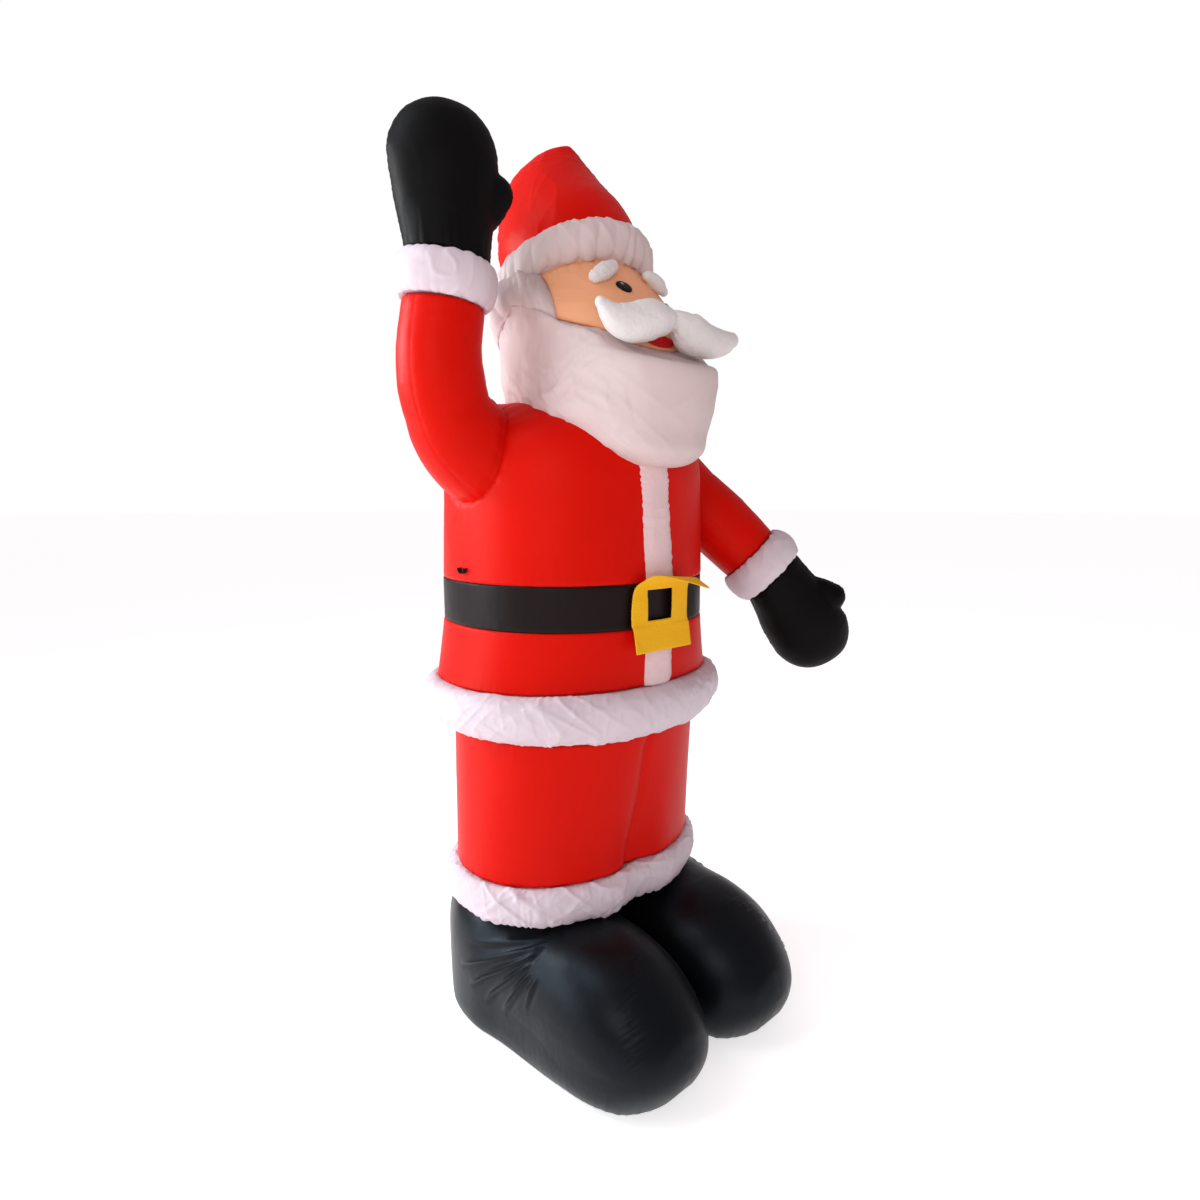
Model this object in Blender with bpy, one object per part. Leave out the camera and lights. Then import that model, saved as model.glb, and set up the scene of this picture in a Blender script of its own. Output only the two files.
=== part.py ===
"""Waving inflatable Santa, 2.4 m tall, as the closed solids of its sewn fabric sections.

Metres, +Z up. The figure faces -Y and its left hand is at +X. The sections are placed
around the upright line through the middle of the body, and at the end the whole figure is
moved so that the origin is on the ground under the middle of its box.
"""

import math

import bmesh
import bpy
from mathutils import Matrix, Vector

# Air left between two neighbouring sections
GAP = 0.0004

# Heights of the body's sections, from the ground up
BOOT_HEIGHT = 0.350
TROUSER_TRIM_HEIGHT = 0.106
TROUSER_HEIGHT = 0.389
COAT_TRIM_HEIGHT = 0.137
SKIRT_HEIGHT = 0.151
BELT_HEIGHT = 0.115
CHEST_HEIGHT = 0.225
SHOULDER_HEIGHT = 0.245

# Half width and half depth of the body at its seams
TROUSER_HEM_HALF = (0.372, 0.270)
TROUSER_WAIST_HALF = (0.356, 0.312)
SKIRT_HEM_HALF = (0.405, 0.333)
BELT_HALF = (0.372, 0.338)
CHEST_TAPER = (0.008, 0.004)
CHEST_HALF = (BELT_HALF[0] - CHEST_TAPER[0], BELT_HALF[1] - CHEST_TAPER[1])
NECK_HALF = (0.190, 0.160)
BODY_SQUARENESS = 2.15
SHOULDER_ROUNDNESS = 2.5

# The fold between the two trouser legs, deepest at the hem
LEG_FOLD_DEPTH = 0.024
LEG_FOLD_HALF_WIDTH = 0.060

# How far the stuffed white trims stand out of their seams
COAT_TRIM_BULGE = 0.056
TROUSER_TRIM_BULGE = 0.030
HAT_TRIM_BULGE = 0.027
CUFF_BULGE = 0.024

# Boots: sections from heel to toe as (place along Y, inner side, outer side, share of the
# height of the underside and of the top, squareness of the lower edges and of the upper edges)
BOOT_MIDDLE = 0.016
BOOT_FORM = (
    (0.262, 0.120, 0.262, 0.114, 0.886, 3.0, 3.0),
    (0.244, 0.060, 0.308, 0.000, 0.960, 5.0, 3.2),
    (0.190, 0.010, 0.346, 0.000, 1.000, 9.0, 3.6),
    (0.100, 0.003, 0.388, 0.000, 1.000, 9.0, 3.6),
    (0.000, 0.003, 0.399, 0.000, 1.000, 9.0, 3.6),
    (-0.110, 0.003, 0.384, 0.000, 1.000, 8.0, 3.0),
    (-0.220, 0.003, 0.376, 0.000, 1.000, 7.0, 2.5),
    (-0.330, 0.003, 0.374, 0.000, 0.997, 5.0, 2.3),
    (-0.420, 0.008, 0.364, 0.000, 0.949, 4.0, 2.2),
    (-0.490, 0.024, 0.344, 0.000, 0.863, 3.0, 2.1),
    (-0.546, 0.052, 0.312, 0.080, 0.743, 2.2, 2.0),
    (-0.585, 0.092, 0.268, 0.206, 0.611, 2.0, 2.0),
    (-0.604, 0.138, 0.222, 0.314, 0.491, 2.0, 2.0),
)

# Arms: the centre line of each sleeve, from inside the chest to the cuff
SLEEVE_RADIUS = 0.096
SHOULDER_RADIUS = 0.150
RIGHT_SLEEVE_LINE = (
    (-0.180, 0.000, 1.535),
    (-0.300, -0.002, 1.560),
    (-0.398, -0.010, 1.648),
    (-0.433, -0.020, 1.775),
    (-0.424, -0.030, 1.908),
)
LEFT_SLEEVE_LINE = (
    (0.180, 0.030, 1.555),
    (0.310, -0.030, 1.528),
    (0.418, -0.140, 1.414),
    (0.505, -0.240, 1.290),
)
CUFF_HEIGHT = 0.100
CUFF_SEAM_RADIUS = 0.098
MITTEN_LENGTH = 0.342
MITTEN_HALF_WIDTH = 0.124
MITTEN_HALF_THICKNESS = 0.096
MITTEN_WRIST_RADIUS = 0.098
THUMB_RADIUS = 0.045
THUMB_REACH = 0.116
THUMB_TIP_SHARE = 0.44
RIGHT_MITTEN_LEAN = (-0.02, 0.0, 1.0)
RIGHT_THUMB_SIDE = (0.90, -0.44, 0.0)
LEFT_MITTEN_LEAN = (0.52, -0.28, -0.80)
LEFT_THUMB_SIDE = (0.45, -0.75, 0.35)

# Head: the beard's underside, the slanting seam under the face and the seam of the hat trim
BEARD_BOTTOM = 1.540
JAW_SEAM_FRONT = (-0.332, 1.822)
JAW_SEAM_SIDE = (-0.130, 1.906)
JAW_SEAM_HALF = (0.236, 0.262)
JAW_SEAM_MIDDLE = -0.070
HAT_TRIM_BOTTOM = 1.985
HAT_TRIM_HEIGHT = 0.098
HAT_TRIM_HALF = (0.192, 0.194)
HAT_TRIM_TILT = 0.340
HAT_HEIGHT = 0.313
HEAD_BULGE = 0.016
HAIR_HEIGHT = 0.080
FACE_BACK_Y = -0.090
FACE_BACK_HALF = 0.180
FACE_FLARE = 0.343
FACE_REACH = 0.500
HEAD_SQUARENESS = 2.1
BEARD_FORM = (
    (0.000, 0.070, 0.050, -0.335),
    (0.030, 0.140, 0.120, -0.300),
    (0.080, 0.192, 0.215, -0.215),
    (0.150, 0.226, 0.298, -0.152),
    (0.230, 0.240, 0.322, -0.130),
)
BEARD_SHELF_HALF = (0.238, 0.292)
BEARD_SHELF_MIDDLE = -0.103
HAT_FORM = (
    (0.00, 0.178, 0.180, 0.000),
    (0.20, 0.181, 0.188, 0.030),
    (0.40, 0.166, 0.180, 0.053),
    (0.58, 0.146, 0.158, 0.074),
    (0.73, 0.121, 0.131, 0.084),
    (0.85, 0.092, 0.100, 0.083),
    (0.94, 0.060, 0.064, 0.074),
)
HAT_TIP_Y = 0.020

# Sewn-on pieces of the face, placed by their angle from the front and their height
EYE_PLACES = {"right": (math.radians(-12.5), 1.970), "left": (math.radians(19), 1.952)}
EYE_HALF = (0.017, 0.025)
PATCH_THICKNESS = 0.004
BROW_ANGLES = (math.radians(31), math.radians(24), math.radians(16))
BROW_LEVELS = (1.984, 2.006, 2.016)
BROW_RADII = (0.015, 0.022, 0.018)
MOUTH_LEVEL = 1.839
MOUTH_HALF = (0.050, 0.016)
MOUSTACHE_LINE = (
    (-0.212, -0.347, 1.881),
    (-0.140, -0.362, 1.867),
    (0.000, -0.369, 1.866),
    (0.140, -0.362, 1.852),
    (0.240, -0.350, 1.862),
)
MOUSTACHE_RADII = (0.024, 0.042, 0.042, 0.045, 0.024)

# The white strip down the coat's front
STRIP_HALF_WIDTH = 0.045
STRIP_THICKNESS = 0.012

# The buckle: its outline from bottom to top as (height above the belt's lower edge,
# distance out from the belt, left edge, right edge)
BUCKLE_SHEET = (
    (-0.054, 0.034, -0.098, 0.098),
    (0.000, 0.010, -0.098, 0.098),
    (0.022, 0.006, -0.098, 0.098),
    (0.100, 0.006, -0.096, 0.098),
    (0.122, 0.014, -0.074, 0.100),
    (0.131, 0.034, -0.050, 0.103),
    (0.118, 0.064, 0.040, 0.106),
)
BUCKLE_WINDOW_HALF = 0.037
BUCKLE_WINDOW_ROW = 2
BUCKLE_THICKNESS = 0.004
BUCKLE_CLEARANCE = 0.010

# Tether loops: webbing hanging in a U from each side seam
LOOP_RADIUS = 0.015
LOOP_THICKNESS = 0.004
LOOP_WIDTH = 0.012
LOOP_ABOVE_BELT = 0.036
LOOP_Y = -0.006

# Points around a section, and rings along it
BODY_SIDES = 40
HEAD_SIDES = 36
HEAD_RINGS = 6
BOOT_SIDES = 26
SLEEVE_SIDES = 20
ROLL_RINGS = 7
SHOULDER_STEPS = (0.0, 0.28, 0.50, 0.68, 0.82, 0.92, 0.98, 1.0)

COLOURS = {
    "red_fabric": ((0.72, 0.012, 0.008), 0.55),
    "white_fabric": ((0.80, 0.76, 0.76), 0.60),
    "black_fabric": ((0.010, 0.010, 0.012), 0.50),
    "belt_fabric": ((0.016, 0.014, 0.015), 0.50),
    "skin_fabric": ((0.78, 0.36, 0.20), 0.60),
    "plush_white": ((0.86, 0.86, 0.85), 0.80),
    "yellow_felt": ((0.85, 0.42, 0.02), 0.85),
    "eye_black": ((0.004, 0.004, 0.004), 0.25),
    "mouth_red": ((0.62, 0.01, 0.01), 0.60),
    "webbing": ((0.008, 0.008, 0.008), 0.80),
}


def levels():
    """Height of each seam of the body, from the ground up."""
    names = ("boot", "trouser_trim", "trousers", "coat_trim", "skirt", "belt", "chest", "neck")
    heights = (
        BOOT_HEIGHT, TROUSER_TRIM_HEIGHT, TROUSER_HEIGHT, COAT_TRIM_HEIGHT,
        SKIRT_HEIGHT, BELT_HEIGHT, CHEST_HEIGHT, SHOULDER_HEIGHT,
    )
    found = {}
    top = 0.0
    for name, height in zip(names, heights):
        top += height
        found[name] = top
    return found


LEVEL = levels()


def material(name):
    """The named finish, made once."""
    found = bpy.data.materials.get(name)
    if found:
        return found
    colour, roughness = COLOURS[name]
    made = bpy.data.materials.new(name)
    made.use_nodes = True
    shader = made.node_tree.nodes["Principled BSDF"]
    shader.inputs["Base Color"].default_value = (*colour, 1.0)
    shader.inputs["Roughness"].default_value = roughness
    shader.inputs["Metallic"].default_value = 0.0
    return made


def add_object(name, bm, finish):
    """Turns a bmesh into a smooth-shaded object of the scene."""
    bmesh.ops.recalc_face_normals(bm, faces=bm.faces)
    mesh = bpy.data.meshes.new(name)
    bm.to_mesh(mesh)
    bm.free()
    mesh.shade_smooth()
    mesh.set_sharp_from_angle(angle=math.radians(50))
    mesh.materials.append(material(finish))
    made = bpy.data.objects.new(name, mesh)
    bpy.context.scene.collection.objects.link(made)
    return made


def loft(name, rings, finish):
    """A closed solid through rings of points. A ring of one point is a pole."""
    bm = bmesh.new()
    loops = [[bm.verts.new(point) for point in ring] for ring in rings]
    for low, high in zip(loops, loops[1:]):
        count = max(len(low), len(high))
        for i in range(count):
            j = (i + 1) % count
            corners = [low[i % len(low)], low[j % len(low)], high[j % len(high)], high[i % len(high)]]
            bm.faces.new(list(dict.fromkeys(corners)))
    for end in (loops[0], loops[-1]):
        if len(end) > 1:
            bm.faces.new(end)
    return add_object(name, bm, finish)


def cut(target, cutter, operation="DIFFERENCE"):
    """Cuts or joins the cutter, and hides it."""
    modifier = target.modifiers.new(operation.lower(), "BOOLEAN")
    modifier.operation = operation
    modifier.solver = "EXACT"
    modifier.object = cutter
    cutter.hide_render = True
    cutter.display_type = "WIRE"


def signed_power(value, power):
    return math.copysign(abs(value) ** power, value)


def oval(half_width, half_depth, middle_y, z, sides, squareness=2.0):
    """A level superellipse, its first point at the front."""
    points = []
    for i in range(sides):
        angle = 2 * math.pi * i / sides
        x = half_width * signed_power(math.sin(angle), 2 / squareness)
        y = middle_y - half_depth * signed_power(math.cos(angle), 2 / squareness)
        points.append(Vector((x, y, z)))
    return points


def between(knots, place):
    """Values read from a smooth curve through rows of (place, value, ...)."""
    count = len(knots)
    i = max(1, min(count - 1, next((k for k in range(count) if knots[k][0] >= place), count - 1)))
    start, end = knots[i - 1], knots[i]
    before = knots[max(0, i - 2)]
    after = knots[min(count - 1, i + 1)]
    span = end[0] - start[0]
    t = min(1.0, max(0.0, (place - start[0]) / span))
    values = []
    for k in range(1, len(start)):
        rise_start = (end[k] - before[k]) / (end[0] - before[0]) * span
        rise_end = (after[k] - start[k]) / (after[0] - start[0]) * span
        values.append(
            (2 * t**3 - 3 * t**2 + 1) * start[k] + (t**3 - 2 * t**2 + t) * rise_start
            + (3 * t**2 - 2 * t**3) * end[k] + (t**3 - t**2) * rise_end
        )
    return values


def mix(low, high, t):
    return [a + (b - a) * t for a, b in zip(low, high)]


def body_ring(z, grow=0.0):
    """The outline of the legs, coat and shoulders at a height."""
    fold = 0.0
    if z <= LEVEL["trousers"]:
        t = max(0.0, (z - LEVEL["trouser_trim"]) / TROUSER_HEIGHT)
        half = mix(TROUSER_HEM_HALF, TROUSER_WAIST_HALF, t)
        fold = LEG_FOLD_DEPTH * (1 - t)
    elif z <= LEVEL["coat_trim"]:
        half = mix(TROUSER_WAIST_HALF, SKIRT_HEM_HALF, (z - LEVEL["trousers"]) / COAT_TRIM_HEIGHT)
    elif z <= LEVEL["skirt"]:
        half = mix(SKIRT_HEM_HALF, BELT_HALF, ((z - LEVEL["coat_trim"]) / SKIRT_HEIGHT) ** 0.75)
    elif z <= LEVEL["belt"]:
        half = BELT_HALF
    elif z <= LEVEL["chest"]:
        half = mix(BELT_HALF, CHEST_HALF, (z - LEVEL["belt"]) / CHEST_HEIGHT)
    else:
        t = min(1.0, (z - LEVEL["chest"]) / SHOULDER_HEIGHT)
        rounding = (1 - t**SHOULDER_ROUNDNESS) ** (1 / SHOULDER_ROUNDNESS)
        half = mix(NECK_HALF, CHEST_HALF, rounding)
    ring = oval(half[0] + grow, half[1] + grow, 0.0, z, BODY_SIDES, BODY_SQUARENESS)
    for point in ring:
        point.y -= math.copysign(fold, point.y) * math.exp(-((point.x / LEG_FOLD_HALF_WIDTH) ** 2))
    return ring


def body_section(name, low, high, finish, rings):
    """One sewn section of the body between two seams."""
    bottom, top = low + GAP / 2, high - GAP / 2
    heights = [bottom + (top - bottom) * i / (rings - 1) for i in range(rings)]
    return loft(name, [body_ring(z) for z in heights], finish)


def body_roll(name, low, high, bulge, finish):
    """A stuffed trim between two seams, standing out all round."""
    bottom, top = low + GAP / 2, high - GAP / 2
    rings = []
    for i in range(ROLL_RINGS):
        t = (1 - math.cos(math.pi * i / (ROLL_RINGS - 1))) / 2
        rings.append(body_ring(bottom + (top - bottom) * t, bulge * 2 * math.sqrt(t * (1 - t))))
    return loft(name, rings, finish)


def coat_rings(grow):
    """Rings of the chest and shoulders, closer together where they round in."""
    chest, neck = LEVEL["chest"], LEVEL["neck"] - GAP / 2
    rings = [body_ring(LEVEL["belt"] + GAP / 2 - grow, grow)]
    rings += [body_ring(chest + (neck - chest) * step, grow) for step in SHOULDER_STEPS]
    for point in rings[-1]:
        point.z += grow
    return rings


def coat(name, grow=0.0):
    """Chest and shoulders, from the belt to the neck."""
    return loft(name, coat_rings(grow), "red_fabric")


def boot(name, side):
    """A boot lofted from heel to toe, its sole flat and its toe a high rounded cap."""
    rings = []
    height = BOOT_HEIGHT - GAP / 2
    for y, inner, outer, low_share, high_share, lower, upper in BOOT_FORM:
        half_width = (outer - inner) / 2
        middle = BOOT_MIDDLE + side * (inner + outer) / 2
        low, top = height * low_share, height * high_share
        waist = low + (top - low) * 0.45
        ring = []
        for i in range(BOOT_SIDES):
            a = 2 * math.pi * (i + 0.5) / BOOT_SIDES
            rising = math.cos(a) > 0
            roundness = upper if rising else lower
            x = half_width * signed_power(math.sin(a), 2 / roundness)
            reach = top - waist if rising else (waist - low) * 1.06
            z = waist + reach * signed_power(math.cos(a), 2 / roundness)
            ring.append(Vector((middle + x, y, max(low, z))))
        rings.append(ring)
    return loft(name, rings, "black_fabric")


def smooth_line(points, count):
    """Evenly numbered points on a smooth curve through the given ones."""
    rows = [(i / (len(points) - 1), *point) for i, point in enumerate(points)]
    return [Vector(between(rows, i / (count - 1))) for i in range(count)]


def tube_rings(line, radii, sides):
    """Round rings across a line, each with its own radius."""
    rings = []
    side = None
    for i, point in enumerate(line):
        along = (line[min(i + 1, len(line) - 1)] - line[max(i - 1, 0)]).normalized()
        if side is None:
            side = along.orthogonal().normalized()
        side = (side - along * side.dot(along)).normalized()
        other = along.cross(side)
        rings.append([
            point + radii[i] * (side * math.cos(a) + other * math.sin(a))
            for a in (2 * math.pi * k / sides for k in range(sides))
        ])
    return rings


def sleeve(name, points):
    """A sleeve from inside the shoulder to the cuff."""
    count = 12
    line = smooth_line(points, count)
    radii = []
    for i in range(count):
        t = i / (count - 1)
        radii.append(SLEEVE_RADIUS + (SHOULDER_RADIUS - SLEEVE_RADIUS) * max(0.0, 1 - 1.8 * t))
    made = loft(name, tube_rings(line, radii, SLEEVE_SIDES), "red_fabric")
    cut(made, coat(name + "_coat_cutter", grow=GAP))
    return made


def sleeve_end(points):
    """Where a sleeve's outer end is, and the way it points."""
    line = smooth_line(points, 12)
    return line[-1], (line[-1] - line[-2]).normalized()


def cuff(name, start, along):
    """A stuffed white roll round the wrist."""
    line, radii = [], []
    for i in range(ROLL_RINGS):
        t = (1 - math.cos(math.pi * i / (ROLL_RINGS - 1))) / 2
        line.append(start + along * (GAP + (CUFF_HEIGHT - 2 * GAP) * t))
        radii.append(CUFF_SEAM_RADIUS + CUFF_BULGE * 2 * math.sqrt(t * (1 - t)))
    return loft(name, tube_rings(line, radii, SLEEVE_SIDES + 4), "white_fabric")


def mitten(name, root, wrist, lean, thumb_side):
    """A full mitten with a stub thumb. It leaves the cuff along the wrist and bends to its lean."""
    along = lean.normalized()
    across = (thumb_side - along * thumb_side.dot(along)).normalized()
    form = (
        (0.00, MITTEN_WRIST_RADIUS, MITTEN_WRIST_RADIUS),
        (0.20, MITTEN_HALF_WIDTH * 0.86, MITTEN_HALF_THICKNESS * 1.02),
        (0.45, MITTEN_HALF_WIDTH * 0.97, MITTEN_HALF_THICKNESS),
        (0.68, MITTEN_HALF_WIDTH, MITTEN_HALF_THICKNESS * 0.94),
        (0.84, MITTEN_HALF_WIDTH * 0.84, MITTEN_HALF_THICKNESS * 0.78),
        (0.94, MITTEN_HALF_WIDTH * 0.58, MITTEN_HALF_THICKNESS * 0.52),
        (0.985, MITTEN_HALF_WIDTH * 0.30, MITTEN_HALF_THICKNESS * 0.26),
    )
    sides = 22
    rings = []
    for share, width, depth in form:
        facing = wrist.lerp(along, min(1.0, share * 2.5)).normalized()
        wide = (across - facing * across.dot(facing)).normalized()
        thick = facing.cross(wide)
        middle = root + along * MITTEN_LENGTH * share
        rings.append([
            middle + wide * width * math.cos(a) + thick * depth * math.sin(a)
            for a in (2 * math.pi * k / sides for k in range(sides))
        ])
    rings.append([root + along * MITTEN_LENGTH])
    hand = loft(name, rings, "black_fabric")
    thumb_line = smooth_line(
        [
            root + along * MITTEN_LENGTH * 0.20,
            root + along * MITTEN_LENGTH * 0.31 + across * THUMB_REACH * 0.66,
            root + along * MITTEN_LENGTH * THUMB_TIP_SHARE + across * THUMB_REACH,
        ],
        6,
    )
    tip = thumb_line[-1] + (thumb_line[-1] - thumb_line[-2]).normalized() * THUMB_RADIUS
    shrink = (0.8, 1.0, 1.0, 1.0, 0.98, 0.86)
    thumb_rings = tube_rings(thumb_line, [THUMB_RADIUS * s for s in shrink], 14)
    shoulder = thumb_line[-1].lerp(tip, 0.55)
    thumb_rings.append([shoulder + (p - thumb_line[-1]) * 0.68 for p in thumb_rings[-1]])
    thumb_rings.append([tip])
    thumb = loft(name + "_thumb_joiner", thumb_rings, "black_fabric")
    cut(hand, thumb, "UNION")
    return hand


def jaw_seam(y):
    """Height of the slanting seam between the face and the beard."""
    (front_y, front_z), (side_y, side_z) = JAW_SEAM_FRONT, JAW_SEAM_SIDE
    return front_z + (side_z - front_z) * (y - front_y) / (side_y - front_y)


def trim_seam(y, height=0.0):
    """Height of the hat trim's tilted lower seam, or of a plane above it."""
    return HAT_TRIM_BOTTOM + height - HAT_TRIM_TILT * y


def hair_seam(y):
    """Height where the hair starts: the jaw seam, dropping under the hat trim at the back."""
    return min(jaw_seam(y), trim_seam(y) - HAIR_HEIGHT)


def oval_point(half, middle_y, angle, squareness=HEAD_SQUARENESS):
    """A point of a level outline. The angle is from the front, towards the left hand."""
    x = half[0] * signed_power(math.sin(angle), 2 / squareness)
    return x, middle_y - half[1] * signed_power(math.cos(angle), 2 / squareness)


def head_point(angle, share):
    """A point of the head between the jaw seam and the hat trim, by its share of the way up."""
    low_x, low_y = oval_point(JAW_SEAM_HALF, JAW_SEAM_MIDDLE, angle)
    high_x, high_y = oval_point(HAT_TRIM_HALF, 0.0, angle)
    low = Vector((low_x, low_y, hair_seam(low_y) - GAP))
    high = Vector((high_x, high_y, trim_seam(high_y) - GAP / 2))
    out = Vector((math.sin(angle), -math.cos(angle), 0.0))
    return low.lerp(high, share) + out * HEAD_BULGE * 4 * share * (1 - share)


def face_place(angle, level):
    """The point of the face at an angle and a height, and the way its surface faces."""
    low, high = 0.0, 1.0
    for _ in range(24):
        share = (low + high) / 2
        if head_point(angle, share).z < level:
            low = share
        else:
            high = share
    place = head_point(angle, share)
    upward = head_point(angle, share + 0.02) - place
    sideways = head_point(angle + 0.02, share) - place
    return place, sideways.normalized(), upward.normalized()


def face_wedge(name, clear):
    """The space of the face panel, in front of a wall and between two upright planes."""
    back, front = FACE_BACK_Y + clear, FACE_BACK_Y - FACE_REACH
    plan = []
    for y in (back, front):
        half = FACE_BACK_HALF + clear + FACE_FLARE * (FACE_BACK_Y - y)
        plan += [(half, y), (-half, y)] if y == back else [(-half, y), (half, y)]
    low = [Vector((x, y, jaw_seam(y) - clear)) for x, y in plan]
    high = [Vector((x, y, HAT_TRIM_BOTTOM + HAT_TRIM_HEIGHT + HAT_HEIGHT)) for x, y in plan]
    return loft(name, [low, high], "skin_fabric")


def head_form(name, finish):
    """The whole head from the beard's underside to the hat trim."""
    rings = []
    for height, width, depth, middle in BEARD_FORM:
        rings.append(oval(width, depth, middle, BEARD_BOTTOM + height, HEAD_SIDES, HEAD_SQUARENESS))
    shelf = oval(*BEARD_SHELF_HALF, BEARD_SHELF_MIDDLE, 0.0, HEAD_SIDES, HEAD_SQUARENESS)
    for point in shelf:
        point.z = hair_seam(point.y) - 0.012
    rings.append(shelf)
    for row in range(HEAD_RINGS):
        share = row / (HEAD_RINGS - 1)
        rings.append([head_point(2 * math.pi * i / HEAD_SIDES, share) for i in range(HEAD_SIDES)])
    return loft(name, rings, finish)


def face(name):
    """The face panel, set into the beard and hair."""
    made = head_form(name, "skin_fabric")
    cut(made, face_wedge(name + "_shaper", -GAP / 2), "INTERSECT")
    return made


def beard(name):
    """Beard, jaw and hair in one panel up to the hat trim, with a space for the face."""
    made = head_form(name, "white_fabric")
    cut(made, coat(name + "_coat_cutter", grow=GAP))
    cut(made, face_wedge(name + "_face_cutter", GAP / 2))
    return made


def hat_trim(name):
    """The white roll round the brow, higher in front."""
    rings = []
    for i in range(ROLL_RINGS):
        t = (1 - math.cos(math.pi * i / (ROLL_RINGS - 1))) / 2
        out = HAT_TRIM_BULGE * 2 * math.sqrt(t * (1 - t))
        ring = oval(HAT_TRIM_HALF[0] + out, HAT_TRIM_HALF[1] + out, 0.0, 0.0, HEAD_SIDES)
        for point in ring:
            point.z = trim_seam(point.y, GAP / 2 + (HAT_TRIM_HEIGHT - GAP) * t)
        rings.append(ring)
    return loft(name, rings, "white_fabric")


def hat(name):
    """The red hat, full behind and sloping to a point in front."""
    base = HAT_TRIM_HEIGHT + GAP / 2
    rings = []
    for share, width, depth, middle in HAT_FORM:
        ring = oval(width, depth, middle, 0.0, HEAD_SIDES)
        for point in ring:
            lean = -HAT_TRIM_TILT * point.y * (1 - share)
            point.z = HAT_TRIM_BOTTOM + base + (HAT_HEIGHT - GAP / 2) * share + lean
        rings.append(ring)
    rings.append([Vector((0.0, HAT_TIP_Y, HAT_TRIM_BOTTOM + HAT_TRIM_HEIGHT + HAT_HEIGHT))])
    return loft(name, rings, "red_fabric")


def patch(name, angle, level, half, finish):
    """A thin flat oval sewn on the face, its back just clear of the face."""
    place, across, up = face_place(angle, level)
    out = across.cross(up).normalized()
    rings = []
    for away, size in ((0.0, 1.0), (0.6, 1.0), (1.0, 0.8)):
        middle = place + out * (0.0008 + PATCH_THICKNESS * away)
        rings.append([
            middle + across * half[0] * size * math.sin(a) + up * half[1] * size * math.cos(a)
            for a in (2 * math.pi * k / 16 for k in range(16))
        ])
    return loft(name, rings, finish)


def puff(name, line, radii, sides, finish, count):
    """A stuffed roll along a smooth line, rounded off at both ends."""
    rows = [(i / (len(line) - 1), radius) for i, radius in enumerate(radii)]
    path = smooth_line(line, count)
    sizes = [between(rows, i / (count - 1))[0] for i in range(count)]
    rings = tube_rings(path, sizes, sides)
    for end, near in ((0, 1), (-1, -2)):
        away = (path[end] - path[near]).normalized()
        cap = [point.lerp(path[end], 0.34) + away * sizes[end] * 0.72 for point in rings[end]]
        tip = [path[end] + away * sizes[end]]
        rings = [tip, cap, *rings] if end == 0 else [*rings, cap, tip]
        if end == 0:
            path, sizes = [None, None, *path], [None, None, *sizes]
    return loft(name, rings, finish)


def brow(name, side):
    """A stuffed eyebrow, just clear of the face."""
    line = []
    for angle, level, radius in zip(BROW_ANGLES, BROW_LEVELS, BROW_RADII):
        place, across, up = face_place(side * angle, level)
        line.append(place + across.cross(up).normalized() * (max(BROW_RADII) + 0.002))
    return puff(name, line, BROW_RADII, 10, "plush_white", 7)


def strip(name, heights):
    """A white band lying down the coat's front between the given heights."""
    rings = []
    for z in heights:
        body = body_ring(z)
        inner = []
        for x in (-STRIP_HALF_WIDTH, 0.0, STRIP_HALF_WIDTH):
            middle, side = body[0], body[1]
            y = middle.y + (side.y - middle.y) * abs(x) / side.x
            inner.append(Vector((x, y - GAP, z)))
        outer = [point + Vector((0.0, -STRIP_THICKNESS, 0.0)) for point in reversed(inner)]
        outer[0].y += STRIP_THICKNESS * 0.5
        outer[-1].y += STRIP_THICKNESS * 0.5
        rings.append([*inner, *outer])
    return loft(name, rings, "white_fabric")


def sheet(name, front, back, missing, finish):
    """A closed sheet between two matching grids of points, without the missing cells."""
    bm = bmesh.new()
    near = [[bm.verts.new(point) for point in row] for row in front]
    far = [[bm.verts.new(point) for point in row] for row in back]
    rows, columns = len(front) - 1, len(front[0]) - 1
    cells = {(r, c) for r in range(rows) for c in range(columns)} - set(missing)
    for r, c in sorted(cells):
        bm.faces.new([near[r][c], near[r][c + 1], near[r + 1][c + 1], near[r + 1][c]])
        bm.faces.new([far[r + 1][c], far[r + 1][c + 1], far[r][c + 1], far[r][c]])
        for (dr, dc), (a, b) in {
            (-1, 0): ((r, c), (r, c + 1)),
            (1, 0): ((r + 1, c + 1), (r + 1, c)),
            (0, -1): ((r + 1, c), (r, c)),
            (0, 1): ((r, c + 1), (r + 1, c + 1)),
        }.items():
            if (r + dr, c + dc) not in cells:
                bm.faces.new([near[b[0]][b[1]], near[a[0]][a[1]], far[a[0]][a[1]], far[b[0]][b[1]]])
    return add_object(name, bm, finish)


def buckle(name):
    """A soft frame standing in front of the belt, its lower and upper flaps bent forward."""
    belt_front = -BELT_HALF[1] - BUCKLE_CLEARANCE
    profile = [Vector((0.0, belt_front - out, LEVEL["skirt"] + up)) for up, out, _, _ in BUCKLE_SHEET]
    front, back = [], []
    last = len(profile) - 1
    for i, (point, row) in enumerate(zip(profile, BUCKLE_SHEET)):
        along = (profile[min(i + 1, last)] - profile[max(i - 1, 0)]).normalized()
        inward = Vector((0.0, along.z, -along.y)) * BUCKLE_THICKNESS
        left, right = row[2], row[3]
        window = [max(left * 0.5, -BUCKLE_WINDOW_HALF), BUCKLE_WINDOW_HALF]
        if left > 0:
            window = [left + (right - left) * 0.3, left + (right - left) * 0.6]
        across = [left, *window, right]
        front.append([point + Vector((x, 0.0, 0.0)) for x in across])
        back.append([point + inward + Vector((x, 0.0, 0.0)) for x in across])
    return sheet(name, front, back, [(BUCKLE_WINDOW_ROW, 1)], "yellow_felt")


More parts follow.
